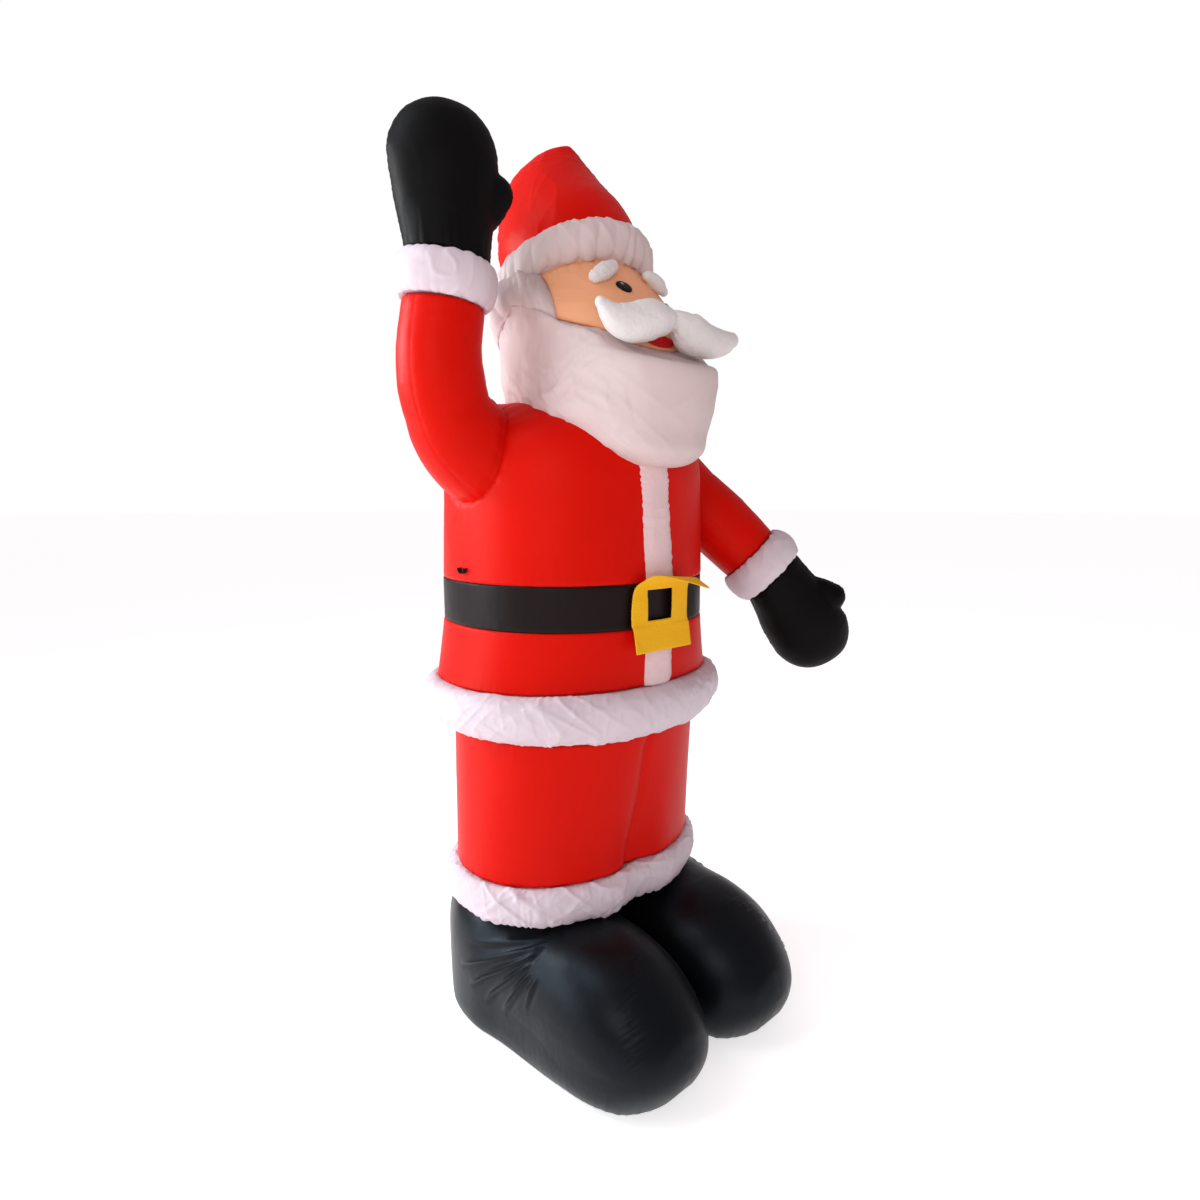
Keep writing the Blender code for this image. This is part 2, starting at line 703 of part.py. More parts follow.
def tether_loop(name, side):
    """Webbing hanging in a U beside the coat's side seam."""
    z = LEVEL["belt"] + LOOP_ABOVE_BELT
    reach = max(abs(point.x) for point in body_ring(z)) + GAP + 0.001
    rings = []
    steps = 8
    for i in range(steps + 1):
        a = math.pi + math.pi * i / steps
        ring = []
        for out, size in ((0.0, 0.0), (LOOP_WIDTH, 0.0), (LOOP_WIDTH, 1.0), (0.0, 1.0)):
            radius = LOOP_RADIUS - LOOP_THICKNESS * size
            ring.append(Vector((
                side * (reach + out), LOOP_Y + radius * math.cos(a), z + radius * math.sin(a)
            )))
        rings.append(ring)
    return loft(name, rings, "webbing")


def build_body():
    body_roll("trouser_trim", LEVEL["boot"], LEVEL["trouser_trim"], TROUSER_TRIM_BULGE, "white_fabric")
    body_section("trousers", LEVEL["trouser_trim"], LEVEL["trousers"], "red_fabric", 5)
    body_roll("coat_trim", LEVEL["trousers"], LEVEL["coat_trim"], COAT_TRIM_BULGE, "white_fabric")
    body_section("coat_skirt", LEVEL["coat_trim"], LEVEL["skirt"], "red_fabric", 4)
    body_section("belt", LEVEL["skirt"], LEVEL["belt"], "belt_fabric", 2)
    coat("coat")
    boot("boot_right", -1)
    boot("boot_left", 1)


def build_arms():
    for side, points, lean, thumb in (
        ("right", RIGHT_SLEEVE_LINE, RIGHT_MITTEN_LEAN, RIGHT_THUMB_SIDE),
        ("left", LEFT_SLEEVE_LINE, LEFT_MITTEN_LEAN, LEFT_THUMB_SIDE),
    ):
        sleeve("sleeve_" + side, points)
        end, along = sleeve_end(points)
        cuff("cuff_" + side, end, along)
        root = end + along * (CUFF_HEIGHT + GAP)
        mitten("mitten_" + side, root, along, Vector(lean), Vector(thumb))


def build_head():
    beard("beard")
    face("face")
    hat_trim("hat_trim")
    hat("hat")
    for side_name, side in (("right", -1), ("left", 1)):
        patch("eye_" + side_name, *EYE_PLACES[side_name], EYE_HALF, "eye_black")
        brow("eyebrow_" + side_name, side)
    patch("mouth", 0.0, MOUTH_LEVEL, MOUTH_HALF, "mouth_red")
    puff("moustache", MOUSTACHE_LINE, MOUSTACHE_RADII, 14, "plush_white", 12)


def build_trimmings():
    clear = GAP / 2
    chest, neck = LEVEL["chest"], LEVEL["neck"]
    upper = [LEVEL["belt"] + 1.5 * clear, chest]
    upper += [z for z in (chest + (neck - chest) * step for step in SHOULDER_STEPS[1:]) if z < BEARD_BOTTOM]
    upper.append(BEARD_BOTTOM - GAP)
    strip("front_strip_upper", upper)
    low, high = LEVEL["coat_trim"] + 1.5 * clear, LEVEL["skirt"] - clear
    strip("front_strip_lower", [low + (high - low) * i / 3 for i in range(4)])
    buckle("buckle")
    tether_loop("tether_loop_right", -1)
    tether_loop("tether_loop_left", 1)


def stand_on_origin():
    """Moves the figure so that the origin is on the ground under the middle of its box."""
    graph = bpy.context.evaluated_depsgraph_get()
    shown = [made.evaluated_get(graph) for made in bpy.data.objects if not made.hide_render]
    points = [vertex.co.copy() for made in shown for vertex in made.data.vertices]
    shift = Vector((0.0, 0.0, 0.0))
    for axis in (0, 1):
        places = [point[axis] for point in points]
        shift[axis] = -(min(places) + max(places)) / 2
    for made in bpy.data.objects:
        made.data.transform(Matrix.Translation(shift))


def main():
    for old in list(bpy.data.objects):
        bpy.data.objects.remove(old)
    build_body()
    build_arms()
    build_head()
    build_trimmings()
    stand_on_origin()


main()
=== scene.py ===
"""The inflatable figure's looks: puckered seams, wrinkled polyester and soft studio light.

Each sewn section is a fine grid laid over the same form as its solid, then pushed in and
out along its normals to make the gathers, wrinkles and seams.
"""

import math
from collections import namedtuple

import bpy
import numpy as np
from mathutils import Euler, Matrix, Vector


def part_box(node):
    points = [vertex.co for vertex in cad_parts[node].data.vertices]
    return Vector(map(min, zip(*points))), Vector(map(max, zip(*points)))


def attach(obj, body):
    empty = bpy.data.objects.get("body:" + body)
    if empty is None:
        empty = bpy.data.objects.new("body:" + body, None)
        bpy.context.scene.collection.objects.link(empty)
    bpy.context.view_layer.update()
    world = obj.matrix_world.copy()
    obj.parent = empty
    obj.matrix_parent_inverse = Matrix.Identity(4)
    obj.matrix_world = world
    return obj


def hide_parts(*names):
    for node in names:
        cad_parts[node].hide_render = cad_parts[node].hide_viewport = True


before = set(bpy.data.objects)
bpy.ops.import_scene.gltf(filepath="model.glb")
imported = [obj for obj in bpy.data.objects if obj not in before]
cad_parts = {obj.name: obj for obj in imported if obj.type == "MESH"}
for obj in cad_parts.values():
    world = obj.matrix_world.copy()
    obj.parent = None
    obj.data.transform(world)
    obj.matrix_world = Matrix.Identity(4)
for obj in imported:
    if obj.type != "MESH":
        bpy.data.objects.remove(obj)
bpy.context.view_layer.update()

GAP = 0.0004

# Seams of the body, from the ground up
BOOT, TROUSER_TRIM, TROUSERS, COAT_TRIM = 0.350, 0.456, 0.845, 0.982
SKIRT, BELT, CHEST, NECK = 1.133, 1.248, 1.473, 1.718
TROUSER_HEM_HALF = (0.372, 0.270)
TROUSER_WAIST_HALF = (0.356, 0.312)
SKIRT_HEM_HALF = (0.405, 0.333)
BELT_HALF = (0.372, 0.338)
CHEST_HALF = (0.364, 0.334)
NECK_HALF = (0.190, 0.160)
BODY_SQUARENESS = 2.15
SHOULDER_ROUNDNESS = 2.5
LEG_FOLD_DEPTH = 0.024
LEG_FOLD_HALF_WIDTH = 0.060
SHOULDER_DIP_LEVEL = 1.690
SHOULDER_DIP = 0.016

# Boots from heel to toe, as (way forward, inner side, outer side, low, top, squareness below, above)
BOOT_MIDDLE = 0.016
BOOT_FORM = (
    (-0.270, 0.180, 0.200, 0.420, 0.560, 2.0, 2.0),
    (-0.262, 0.120, 0.262, 0.114, 0.886, 3.0, 3.0),
    (-0.244, 0.060, 0.308, 0.000, 0.960, 5.0, 3.2),
    (-0.190, 0.010, 0.346, 0.000, 1.000, 9.0, 3.6),
    (-0.100, 0.003, 0.388, 0.000, 1.000, 9.0, 3.6),
    (0.000, 0.003, 0.399, 0.000, 1.000, 9.0, 3.6),
    (0.110, 0.003, 0.384, 0.000, 1.000, 8.0, 3.0),
    (0.220, 0.003, 0.376, 0.000, 1.000, 7.0, 2.5),
    (0.330, 0.003, 0.374, 0.000, 0.997, 5.0, 2.3),
    (0.420, 0.008, 0.364, 0.000, 0.949, 4.0, 2.2),
    (0.490, 0.024, 0.344, 0.000, 0.863, 3.0, 2.1),
    (0.546, 0.052, 0.312, 0.080, 0.743, 2.2, 2.0),
    (0.585, 0.092, 0.268, 0.206, 0.611, 2.0, 2.0),
    (0.604, 0.138, 0.222, 0.314, 0.491, 2.0, 2.0),
    (0.610, 0.172, 0.188, 0.390, 0.420, 2.0, 2.0),
)

# Where the boot's thin folds meet as (y, z), and the folds as (degrees down, start, end, depth)
FAN_MIDDLE = (-0.276, 0.347)
FAN_FOLDS = (
    (17, 0.06, 0.30, 0.0028), (27, 0.05, 0.36, 0.0046), (36, 0.06, 0.34, 0.0056),
    (46, 0.08, 0.31, 0.0050), (57, 0.09, 0.27, 0.0046), (72, 0.08, 0.19, 0.0026),
)

# The seam over the toe cap: a point of it as (way out, y), and its normal
TOE_SEAM_POINT = (0.262, -0.490)
TOE_SEAM_NORMAL = (0.743, 0.670)

SLEEVE_RADIUS = 0.096
SHOULDER_RADIUS = 0.150
RIGHT_SLEEVE_LINE = (
    (-0.180, 0.000, 1.535), (-0.300, -0.002, 1.560), (-0.398, -0.010, 1.648),
    (-0.433, -0.020, 1.775), (-0.424, -0.030, 1.908),
)
LEFT_SLEEVE_LINE = (
    (0.180, 0.030, 1.555), (0.310, -0.030, 1.528), (0.418, -0.140, 1.414), (0.505, -0.240, 1.290),
)
SLEEVE_SLACK = 0.008
CUFF_HEIGHT = 0.100
CUFF_SEAM_RADIUS = 0.098
CUFF_BULGE = 0.024
MITTEN_LENGTH = 0.342
MITTEN_HALF_WIDTH = 0.124
MITTEN_HALF_THICKNESS = 0.096
MITTEN_WRIST_RADIUS = 0.098
THUMB_RADIUS = 0.045
THUMB_REACH = 0.116
THUMB_TIP_SHARE = 0.44

BEARD_BOTTOM = 1.540
BEARD_SWELL_LEVEL = 1.665
BEARD_SWELL = 0.018
# The seam under the face as (place front to back, height)
JAW_SEAM = (
    (-0.500, 1.752), (-0.332, 1.821), (-0.325, 1.825), (-0.300, 1.846), (-0.276, 1.859),
    (-0.228, 1.873), (-0.179, 1.888), (-0.130, 1.906), (0.300, 2.085),
)
JAW_SEAM_HALF = (0.236, 0.262)
JAW_SEAM_MIDDLE = -0.070
HAT_TRIM_BOTTOM = 1.985
HAT_TRIM_HEIGHT = 0.098
HAT_TRIM_HALF = (0.192, 0.194)
HAT_TRIM_BULGE = 0.027
HAT_TRIM_TILT = 0.340
HAT_HEIGHT = 0.313
HEAD_BULGE = 0.016
HAIR_HEIGHT = 0.080
HAIR_BULGE = 0.028
FACE_THICKNESS = 0.016
FACE_BACK_Y = -0.090
FACE_BACK_HALF = 0.180
FACE_FLARE = 0.343
HEAD_SQUARENESS = 2.1
# The beard's levels as (height, half width, half depth, middle)
BEARD_FORM = (
    (0.000, 0.070, 0.050, -0.335), (0.030, 0.140, 0.120, -0.300), (0.080, 0.192, 0.215, -0.215),
    (0.150, 0.226, 0.298, -0.152), (0.230, 0.240, 0.322, -0.130),
)
BEARD_SHELF_HALF = (0.238, 0.292)
BEARD_SHELF_MIDDLE = -0.103
# The hat's levels as (share of its height, half width, half depth, middle)
HAT_FORM = (
    (0.00, 0.178, 0.180, 0.000), (0.20, 0.181, 0.188, 0.030), (0.40, 0.166, 0.180, 0.053),
    (0.58, 0.146, 0.158, 0.074), (0.73, 0.121, 0.131, 0.084), (0.85, 0.092, 0.100, 0.083),
    (0.94, 0.062, 0.066, 0.070), (0.98, 0.038, 0.042, 0.052), (1.00, 0.016, 0.018, 0.032),
)
# The upright seams of the hat, in turns from the front
HAT_SEAMS = (0.17, 0.66)
EYE_PLACES = {"right": (math.radians(-12.5), 1.970), "left": (math.radians(24.5), 1.942)}
EYE_HALF = (0.0215, 0.0150)
EYE_SLANT = math.radians(22)
GLINT_HALF = (0.005, 0.003)
PATCH_THICKNESS = 0.004
PATCH_LIFT = 0.003
# Each brow from its outer end, as (angle, height, radius)
BROW_FORMS = {
    "right": ((-32, 1.978, 0.016), (-28, 1.987, 0.020), (-23, 1.998, 0.021), (-18, 2.009, 0.018)),
    "left": ((27, 1.984, 0.012), (22, 1.993, 0.018), (17, 2.003, 0.019), (12, 2.010, 0.014)),
}
BROW_CLEARANCE = 0.016
MOUTH_LEVEL = 1.839
MOUTH_HALF = (0.050, 0.016)
# The moustache from horn to horn as (x, y, z, radius), pinched in the middle
MOUSTACHE_FORM = (
    (-0.216, -0.352, 1.889, 0.015), (-0.193, -0.356, 1.869, 0.029), (-0.171, -0.359, 1.859, 0.037),
    (-0.128, -0.364, 1.858, 0.045), (-0.079, -0.370, 1.871, 0.046), (-0.036, -0.368, 1.876, 0.036),
    (0.003, -0.364, 1.880, 0.027), (0.031, -0.368, 1.871, 0.038), (0.061, -0.371, 1.858, 0.050),
    (0.116, -0.366, 1.851, 0.044), (0.194, -0.358, 1.857, 0.034), (0.247, -0.352, 1.871, 0.020),
)
STRIP_HALF_WIDTH = 0.049
STRIP_LEAN = 0.022
STRIP_CROWN = 0.012
STRIP_SINK = 0.008
# The buckle from below as (height, way out, left edge, right edge), its window in rows 2 to 3
BUCKLE_SHEET = (
    (-0.056, 0.015, -0.108, 0.094), (0.000, 0.008, -0.108, 0.094), (0.022, 0.006, -0.108, 0.094),
    (0.100, 0.007, -0.100, 0.094), (0.124, 0.014, -0.078, 0.094), (0.136, 0.028, -0.056, 0.094),
    (0.134, 0.046, 0.000, 0.096), (0.128, 0.068, 0.088, 0.100),
)
BUCKLE_WINDOW = (-0.060, 0.027)
BUCKLE_DROOP = 0.030
BUCKLE_CLEARANCE = 0.010
BUCKLE_THICKNESS = 0.003
LOOP_RADIUS = 0.015
LOOP_THICKNESS = 0.004
LOOP_WIDTH = 0.012
LOOP_ABOVE_BELT = 0.036
LOOP_Y = -0.006

# Rows and columns of the grids
TRIM_COLUMNS = 640
PANEL_COLUMNS = 400
COAT_COLUMNS, COAT_ROWS = 480, 80
BOOT_COLUMNS, BOOT_ROWS = 220, 260
SLEEVE_COLUMNS, SLEEVE_ROWS = 160, 96
CUFF_COLUMNS, CUFF_ROWS = 220, 34
MITTEN_VOXEL = 0.0048
BEARD_COLUMNS = 420
FACE_COLUMNS, FACE_ROWS = 120, 60
HAT_TRIM_COLUMNS, HAT_TRIM_ROWS = 440, 40
HAT_COLUMNS, HAT_ROWS = 400, 88

CAMERA_PLACE = (-1.342, -1.597, 1.454)
CAMERA_TURN = (82.15, 0.0, -42.04)
CAMERA_LENS = 21.72
# Lights as (name, place, height that they are aimed at, size, watts, colour)
LIGHTS = (
    ("left_window", (-4.2, 2.2, 1.6), 1.2, (2.2, 2.6), 100.0, (0.80, 0.92, 1.0)),
    ("skylight", (-2.5, 0.8, 4.1), 1.2, (1.8, 1.8), 48.0, (0.84, 0.92, 1.0)),
    ("front_fill", (-2.6, -3.6, 3.4), 1.2, (3.0, 3.0), 5.0, (1.0, 0.96, 0.94)),
    ("side_fill", (-3.0, -1.9, 2.3), 1.9, (1.2, 1.2), 22.0, (1.0, 0.97, 0.95)),
    ("back_window", (-2.6, 3.0, 2.7), 1.9, (1.2, 1.2), 90.0, (0.95, 0.97, 1.0)),
)

SIDES = {"right": -1, "left": 1}
Finish = namedtuple("Finish", "material slot")

# The body's upright axis, from the belt's box
belt_low, belt_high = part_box("belt")
MIDDLE = np.array([(belt_low.x + belt_high.x) / 2, (belt_low.y + belt_high.y) / 2, 0.0])


# Curves and noise

def signed_power(value, power):
    return np.sign(value) * np.abs(value) ** power


def ramp(value, none_at, full_at):
    """0 before the one value and 1 past the other, with an even slope between them."""
    return np.clip((value - none_at) / (full_at - none_at), 0, 1)


def bell(value, middle, width):
    """1 at the middle, fading away to both sides."""
    return np.exp(-((value - middle) / width) ** 2)


def curve(knots, place):
    """Values of a smooth curve through rows of (place, value, ...), for an array of places."""
    knots = np.array(knots, float)
    at, values = knots[:, 0], knots[:, 1:]
    slopes = np.empty_like(values)
    slopes[1:-1] = (values[2:] - values[:-2]) / (at[2:] - at[:-2])[:, None]
    slopes[0] = (values[1] - values[0]) / (at[1] - at[0])
    slopes[-1] = (values[-1] - values[-2]) / (at[-1] - at[-2])
    place = np.clip(place, at[0], at[-1])
    i = np.clip(np.searchsorted(at, place, side="right") - 1, 0, len(at) - 2)
    span = (at[i + 1] - at[i])[..., None]
    t = (place - at[i])[..., None] / span
    return (
        (2 * t**3 - 3 * t**2 + 1) * values[i] + (t**3 - 2 * t**2 + t) * slopes[i] * span
        + (3 * t**2 - 2 * t**3) * values[i + 1] + (t**3 - t**2) * slopes[i + 1] * span
    )


def noise(points, size, seed):
    """Smooth noise from -1 to 1 at points in space, with lumps of the given size."""
    table = np.random.default_rng(seed).uniform(-1, 1, (32, 32, 32))
    cell = points / size
    base = np.floor(cell).astype(int)
    part = cell - base
    part = part * part * (3 - 2 * part)
    total = np.zeros(points.shape[:-1])
    for dx in (0, 1):
        for dy in (0, 1):
            for dz in (0, 1):
                weight = np.ones(points.shape[:-1])
                for axis, step in enumerate((dx, dy, dz)):
                    weight *= part[..., axis] if step else 1 - part[..., axis]
                i, j, k = ((base[..., a] + s) % 32 for a, s in enumerate((dx, dy, dz)))
                total += weight * table[i, j, k]
    return total


def lumps(points, size, seed, layers=3):
    """Noise in several layers, each half the size of the last."""
    total, share, full = 0.0, 1.0, 0.0
    for layer in range(layers):
        total = total + share * noise(points, size / 2**layer, seed + layer)
        full += share
        share *= 0.5
    return total / full


def folds(points, size, seed):
    """Crisp ridges where the noise crosses nought, broken into patches, their mean taken off."""
    sharpness, covered = 4.0, 0.65
    ridge = (1 - np.abs(noise(points, size, seed))) ** sharpness
    ridge = ridge * np.clip(covered + 1.6 * noise(points, 2.3 * size, seed + 50), 0, 1)
    return ridge - ridge.mean()


def twisted(points, rate, squeeze):
    """Points turned round the upright axis as they rise, so that noise read there slants."""
    turn = rate * points[..., 2]
    x = points[..., 0] * np.cos(turn) - points[..., 1] * np.sin(turn)
    y = points[..., 0] * np.sin(turn) + points[..., 1] * np.cos(turn)
    return np.stack([x, y, points[..., 2] * squeeze], -1)


def slanting(points, rate, size, seed):
    """Crisp folds that slant both ways."""
    return (
        folds(twisted(points, rate, 0.4), size, seed)
        + 0.8 * folds(twisted(points, -0.8 * rate, 0.45), size * 0.8, seed + 1)
        + 0.5 * folds(twisted(points, 0.2 * rate, 0.6), size * 0.6, seed + 2)
    )


def pleats(u, count, seed):
    """Gathers round a seam: their height, 0 in the sharp valleys, and how far each one runs."""
    rng = np.random.default_rng(seed)
    edges = np.concatenate([[0.0], np.cumsum(rng.uniform(0.5, 1.5, count))])
    edges /= edges[-1]
    tops = rng.uniform(0.45, 1.0, count)
    runs = rng.uniform(0.45, 1.6, count)
    phase = np.interp(u % 1.0, edges, np.arange(count + 1.0))
    k = np.minimum(phase.astype(int), count - 1)
    valley_sharpness = 0.75
    return tops[k] * np.sin(np.pi * np.clip(phase - k, 0, 1)) ** valley_sharpness, runs[k]


def gathers(u, away, count, seed, depth, run, wander=0.0, lean=0.0):
    """Pleats that fade with the distance from their seam, each over about the given run."""
    height, runs = pleats(u + (lean * away + wander), count, seed)
    return depth * (height - 0.5) * np.exp(-np.abs(away) / (run * runs))


def groove(away, depth=0.002, width=0.004):
    """A seam pulled inwards."""
    return -depth * bell(away, 0.0, width)


def seam_distances(t, length):
    """Distances from the lower and the upper seam, for shares of the length between them."""
    return t * length, (1 - t) * length


def seamed(amount, below, over, lower_depth=0.002):
    """Folds that flatten at two seams, which are pulled inwards."""
    amount = amount * np.clip(np.minimum(below, over) / 0.004, 0.25, 1)
    return amount + groove(below, lower_depth) + groove(over)


# Meshes

def unit(vectors):
    return vectors / np.maximum(np.linalg.norm(vectors, axis=-1, keepdims=True), 1e-9)


def normals(points, round_about=True):
    if round_about:
        across = np.roll(points, -1, 1) - np.roll(points, 1, 1)
    else:
        across = np.gradient(points, axis=1)
    return unit(np.cross(across, np.gradient(points, axis=0)))


def pushed(points, amount, round_about=True):
    """The grid moved along its normals."""
    return points + normals(points, round_about) * amount[..., None]


def add_object(name, data):
    made = bpy.data.objects.new(name, data)
    bpy.context.scene.collection.objects.link(made)
    return made


def make_piece(name, verts, faces, finish, nodes=None):
    """A smooth mesh that rides with the figure and stands for solids, by default its namesake."""
    mesh = bpy.data.meshes.new(name + "_sewn")
    mesh.from_pydata((np.asarray(verts) + MIDDLE).tolist(), [], faces)
    mesh.shade_smooth()
    mesh.materials.append(finish.material)
    piece = add_object(name + "_sewn", mesh)
    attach(piece, "root")
    nodes = (name,) if nodes is None else nodes
    if nodes:
        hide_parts(*nodes)
    return piece


def closed_grid(points):
    """Vertices and faces of a grid that runs round, with its two ends closed."""
    rows, columns = points.shape[:2]
    verts = np.concatenate([points.reshape(-1, 3), points[0].mean(0)[None], points[-1].mean(0)[None]])
    index = np.arange(rows * columns).reshape(rows, columns)
    after = np.roll(index, -1, 1)
    quads = np.stack([index[:-1], after[:-1], after[1:], index[1:]], -1).reshape(-1, 4)
    first = np.stack([after[0], index[0], np.full(columns, rows * columns)], -1)
    last = np.stack([index[-1], after[-1], np.full(columns, rows * columns + 1)], -1)
    faces = quads.tolist() + first.tolist() + last.tolist()
    a, b, c = (verts[quads[:, k]] for k in (0, 1, 2))
    if np.einsum("ij,ij->i", a - verts.mean(0), np.cross(b - a, c - a)).sum() < 0:
        faces = [face[::-1] for face in faces]
    return verts, faces


def grid_piece(name, points, finish):
    return make_piece(name, *closed_grid(points), finish)


def slab(front, back, kept=None):
    """Vertices and faces of a closed sheet between two matching open grids."""
    rows, columns = front.shape[:2]
    count = rows * columns
    verts = np.concatenate([front.reshape(-1, 3), back.reshape(-1, 3)])
    if kept is None:
        kept = np.ones((rows - 1, columns - 1), bool)
    framed = np.pad(kept, 1)
    faces = []
    for r in range(rows - 1):
        for c in range(columns - 1):
            if not kept[r, c]:
                continue
            a, b = r * columns + c, r * columns + c + 1
            d, e = a + columns, b + columns
            faces.append([a, b, e, d])
            faces.append([count + d, count + e, count + b, count + a])
            sides = (
                (framed[r, c + 1], (b, a)), (framed[r + 2, c + 1], (d, e)),
                (framed[r + 1, c], (a, d)), (framed[r + 1, c + 2], (e, b)),
            )
            for neighbour, (p, q) in sides:
                if not neighbour:
                    faces.append([p, q, count + q, count + p])
    used = sorted({i for face in faces for i in face})
    place = {old: new for new, old in enumerate(used)}
    return verts[used], [[place[i] for i in face] for face in faces]


# Materials

def add_node(tree, kind, **values):
    """A new shader node with some of its sockets set."""
    return set_sockets(tree.nodes.new("ShaderNode" + kind), **values)


def set_sockets(node, **values):
    """Sets sockets by their names, with underscores for the spaces."""
    for name, value in values.items():
        node.inputs[name.replace("_", " ")].default_value = value
    return node


def new_tree(data):
    data.use_nodes = True
    return data.node_tree


def fabric(
    name, slot, colour, shade, rough, sheen, gloss, tint=(1.0, 1.0, 1.0),
    weave=0.12, wrinkle=0.25, size=0.05,
):
    """Woven fabric: uneven dye, fine creases, crossing threads and a soft sheen."""
    made = bpy.data.materials.new(name)
    tree = new_tree(made)
    link = tree.links.new
    shader = set_sockets(
        tree.nodes["Principled BSDF"], Roughness=rough, Specular_IOR_Level=gloss,
        Specular_Tint=(*tint, 1.0), Sheen_Weight=sheen, Sheen_Tint=(*tint, 1.0), Sheen_Roughness=0.45,
    )
    place = tree.nodes.new("ShaderNodeTexCoord").outputs["Object"]

    dye = add_node(tree, "TexNoise", Scale=5.0, Detail=5.0, Roughness=0.55)
    ramp_node = tree.nodes.new("ShaderNodeValToRGB")
    low, high = ramp_node.color_ramp.elements
    low.position, low.color = 0.25, (*shade, 1.0)
    high.position, high.color = 0.75, (*colour, 1.0)
    link(place, dye.inputs["Vector"])
    link(dye.outputs["Fac"], ramp_node.inputs["Fac"])
    link(ramp_node.outputs["Color"], shader.inputs["Base Color"])

    creases = add_node(tree, "TexNoise", Scale=1 / size, Detail=4.0, Roughness=0.5)
    fine = add_node(tree, "Bump", Strength=wrinkle, Distance=0.004)
    link(place, creases.inputs["Vector"])
    link(creases.outputs["Fac"], fine.inputs["Height"])

    crossing = tree.nodes.new("ShaderNodeMath")
    crossing.operation = "MULTIPLY"
    for i, direction in enumerate(("X", "Z")):
        thread = add_node(tree, "TexWave", Scale=260.0, Distortion=0.6, Detail=1.0)
        thread.bands_direction = direction
        link(place, thread.inputs["Vector"])
        link(thread.outputs["Fac"], crossing.inputs[i])
    woven = add_node(tree, "Bump", Strength=weave, Distance=0.0006)
    link(crossing.outputs["Value"], woven.inputs["Height"])
    link(fine.outputs["Normal"], woven.inputs["Normal"])
    link(woven.outputs["Normal"], shader.inputs["Normal"])
    return Finish(made, slot)


BLUISH = (0.72, 0.86, 1.0)
WARM = (1.0, 0.86, 0.66)
RED = fabric(
    "red_polyester", "red_fabric", (0.62, 0.0036, 0.0005), (0.57, 0.003, 0.0004),
    0.44, 0.0, 0.09, WARM, wrinkle=0.15,
)
WHITE = fabric(
    "white_polyester", "white_fabric", (0.66, 0.56, 0.6), (0.61, 0.515, 0.56),
    0.5, 0.03, 0.16, wrinkle=0.3, size=0.03,
)
BEARD_WHITE = fabric(
    "beard_polyester", "white_fabric", (0.63, 0.505, 0.49), (0.59, 0.47, 0.455),
    0.5, 0.03, 0.18, wrinkle=0.2, size=0.04,
)
STRIP_WHITE = fabric(
    "strip_polyester", "white_fabric", (0.74, 0.54, 0.54), (0.69, 0.49, 0.49),
    0.55, 0.03, 0.15, wrinkle=0.35, size=0.02,
)
BLACK = fabric(
    "boot_polyester", "black_fabric", (0.0026, 0.003, 0.0038), (0.0016, 0.0018, 0.0022),
    0.36, 0.01, 0.17, BLUISH, wrinkle=0.3,
)
MITTEN_BLACK = fabric(
    "mitten_polyester", "black_fabric", (0.0035, 0.003, 0.0028), (0.0022, 0.002, 0.0018),
    0.5, 0.0, 0.06,
)
BELT_BLACK = fabric(
    "belt_polyester", "belt_fabric", (0.0095, 0.004, 0.004), (0.0075, 0.003, 0.003),
    0.42, 0.01, 0.12,
)
SKIN = fabric(
    "skin_polyester", "skin_fabric", (0.88, 0.42, 0.22), (0.84, 0.38, 0.195),
    0.52, 0.03, 0.12, wrinkle=0.15,
)
PLUSH = fabric(
    "white_plush", "plush_white", (0.74, 0.7, 0.68), (0.68, 0.63, 0.61),
    0.85, 0.1, 0.1, wrinkle=0.55, size=0.01,
)
YELLOW = fabric(
    "yellow_felt", "yellow_felt", (0.86, 0.46, 0.014), (0.78, 0.4, 0.01),
    0.85, 0.05, 0.1, wrinkle=0.4, size=0.006,
)
EYE = fabric(
    "eye_black", "eye_black", (0.004, 0.004, 0.005), (0.003, 0.003, 0.003),
    0.3, 0.0, 0.2, weave=0.05, wrinkle=0.05,
)
GLINT = fabric(
    "eye_grey", "eye_black", (0.3, 0.3, 0.3), (0.24, 0.24, 0.24),
    0.45, 0.0, 0.2, weave=0.05, wrinkle=0.05,
)
MOUTH = fabric(
    "mouth_red", "mouth_red", (0.62, 0.008, 0.008), (0.55, 0.006, 0.006), 0.55, 0.02, 0.12,
)
WEBBING = fabric(
    "black_webbing", "webbing", (0.006, 0.006, 0.006), (0.004, 0.004, 0.004),
    0.75, 0.02, 0.15, weave=0.6,
)


# Body

def body_half(z):
    """Half width and half depth at an array of heights, and how deep the legs are parted there."""
    z = np.asarray(z, float)
    rounding = (1 - ramp(z, CHEST, NECK) ** SHOULDER_ROUNDNESS) ** (1 / SHOULDER_ROUNDNESS)
    rows = np.zeros(z.shape + (2,))
    spans = (
        (-1.0, TROUSER_HEM_HALF, TROUSER_WAIST_HALF, ramp(z, TROUSER_TRIM, TROUSERS)),
        (TROUSERS, TROUSER_WAIST_HALF, SKIRT_HEM_HALF, (z - TROUSERS) / (COAT_TRIM - TROUSERS)),
        (COAT_TRIM, SKIRT_HEM_HALF, BELT_HALF, ramp(z, COAT_TRIM, SKIRT) ** 0.75),
        (BELT, BELT_HALF, CHEST_HALF, ramp(z, BELT, CHEST)),
        (CHEST, NECK_HALF, CHEST_HALF, rounding),
    )
    for start, low, high, t in spans:
        above = z > start
        rows[above] = (np.array(low) + (np.array(high) - np.array(low)) * t[..., None])[above]
    fold = LEG_FOLD_DEPTH * (1 - ramp(z, TROUSER_TRIM, TROUSERS)) * (z <= TROUSERS)
    return rows, fold


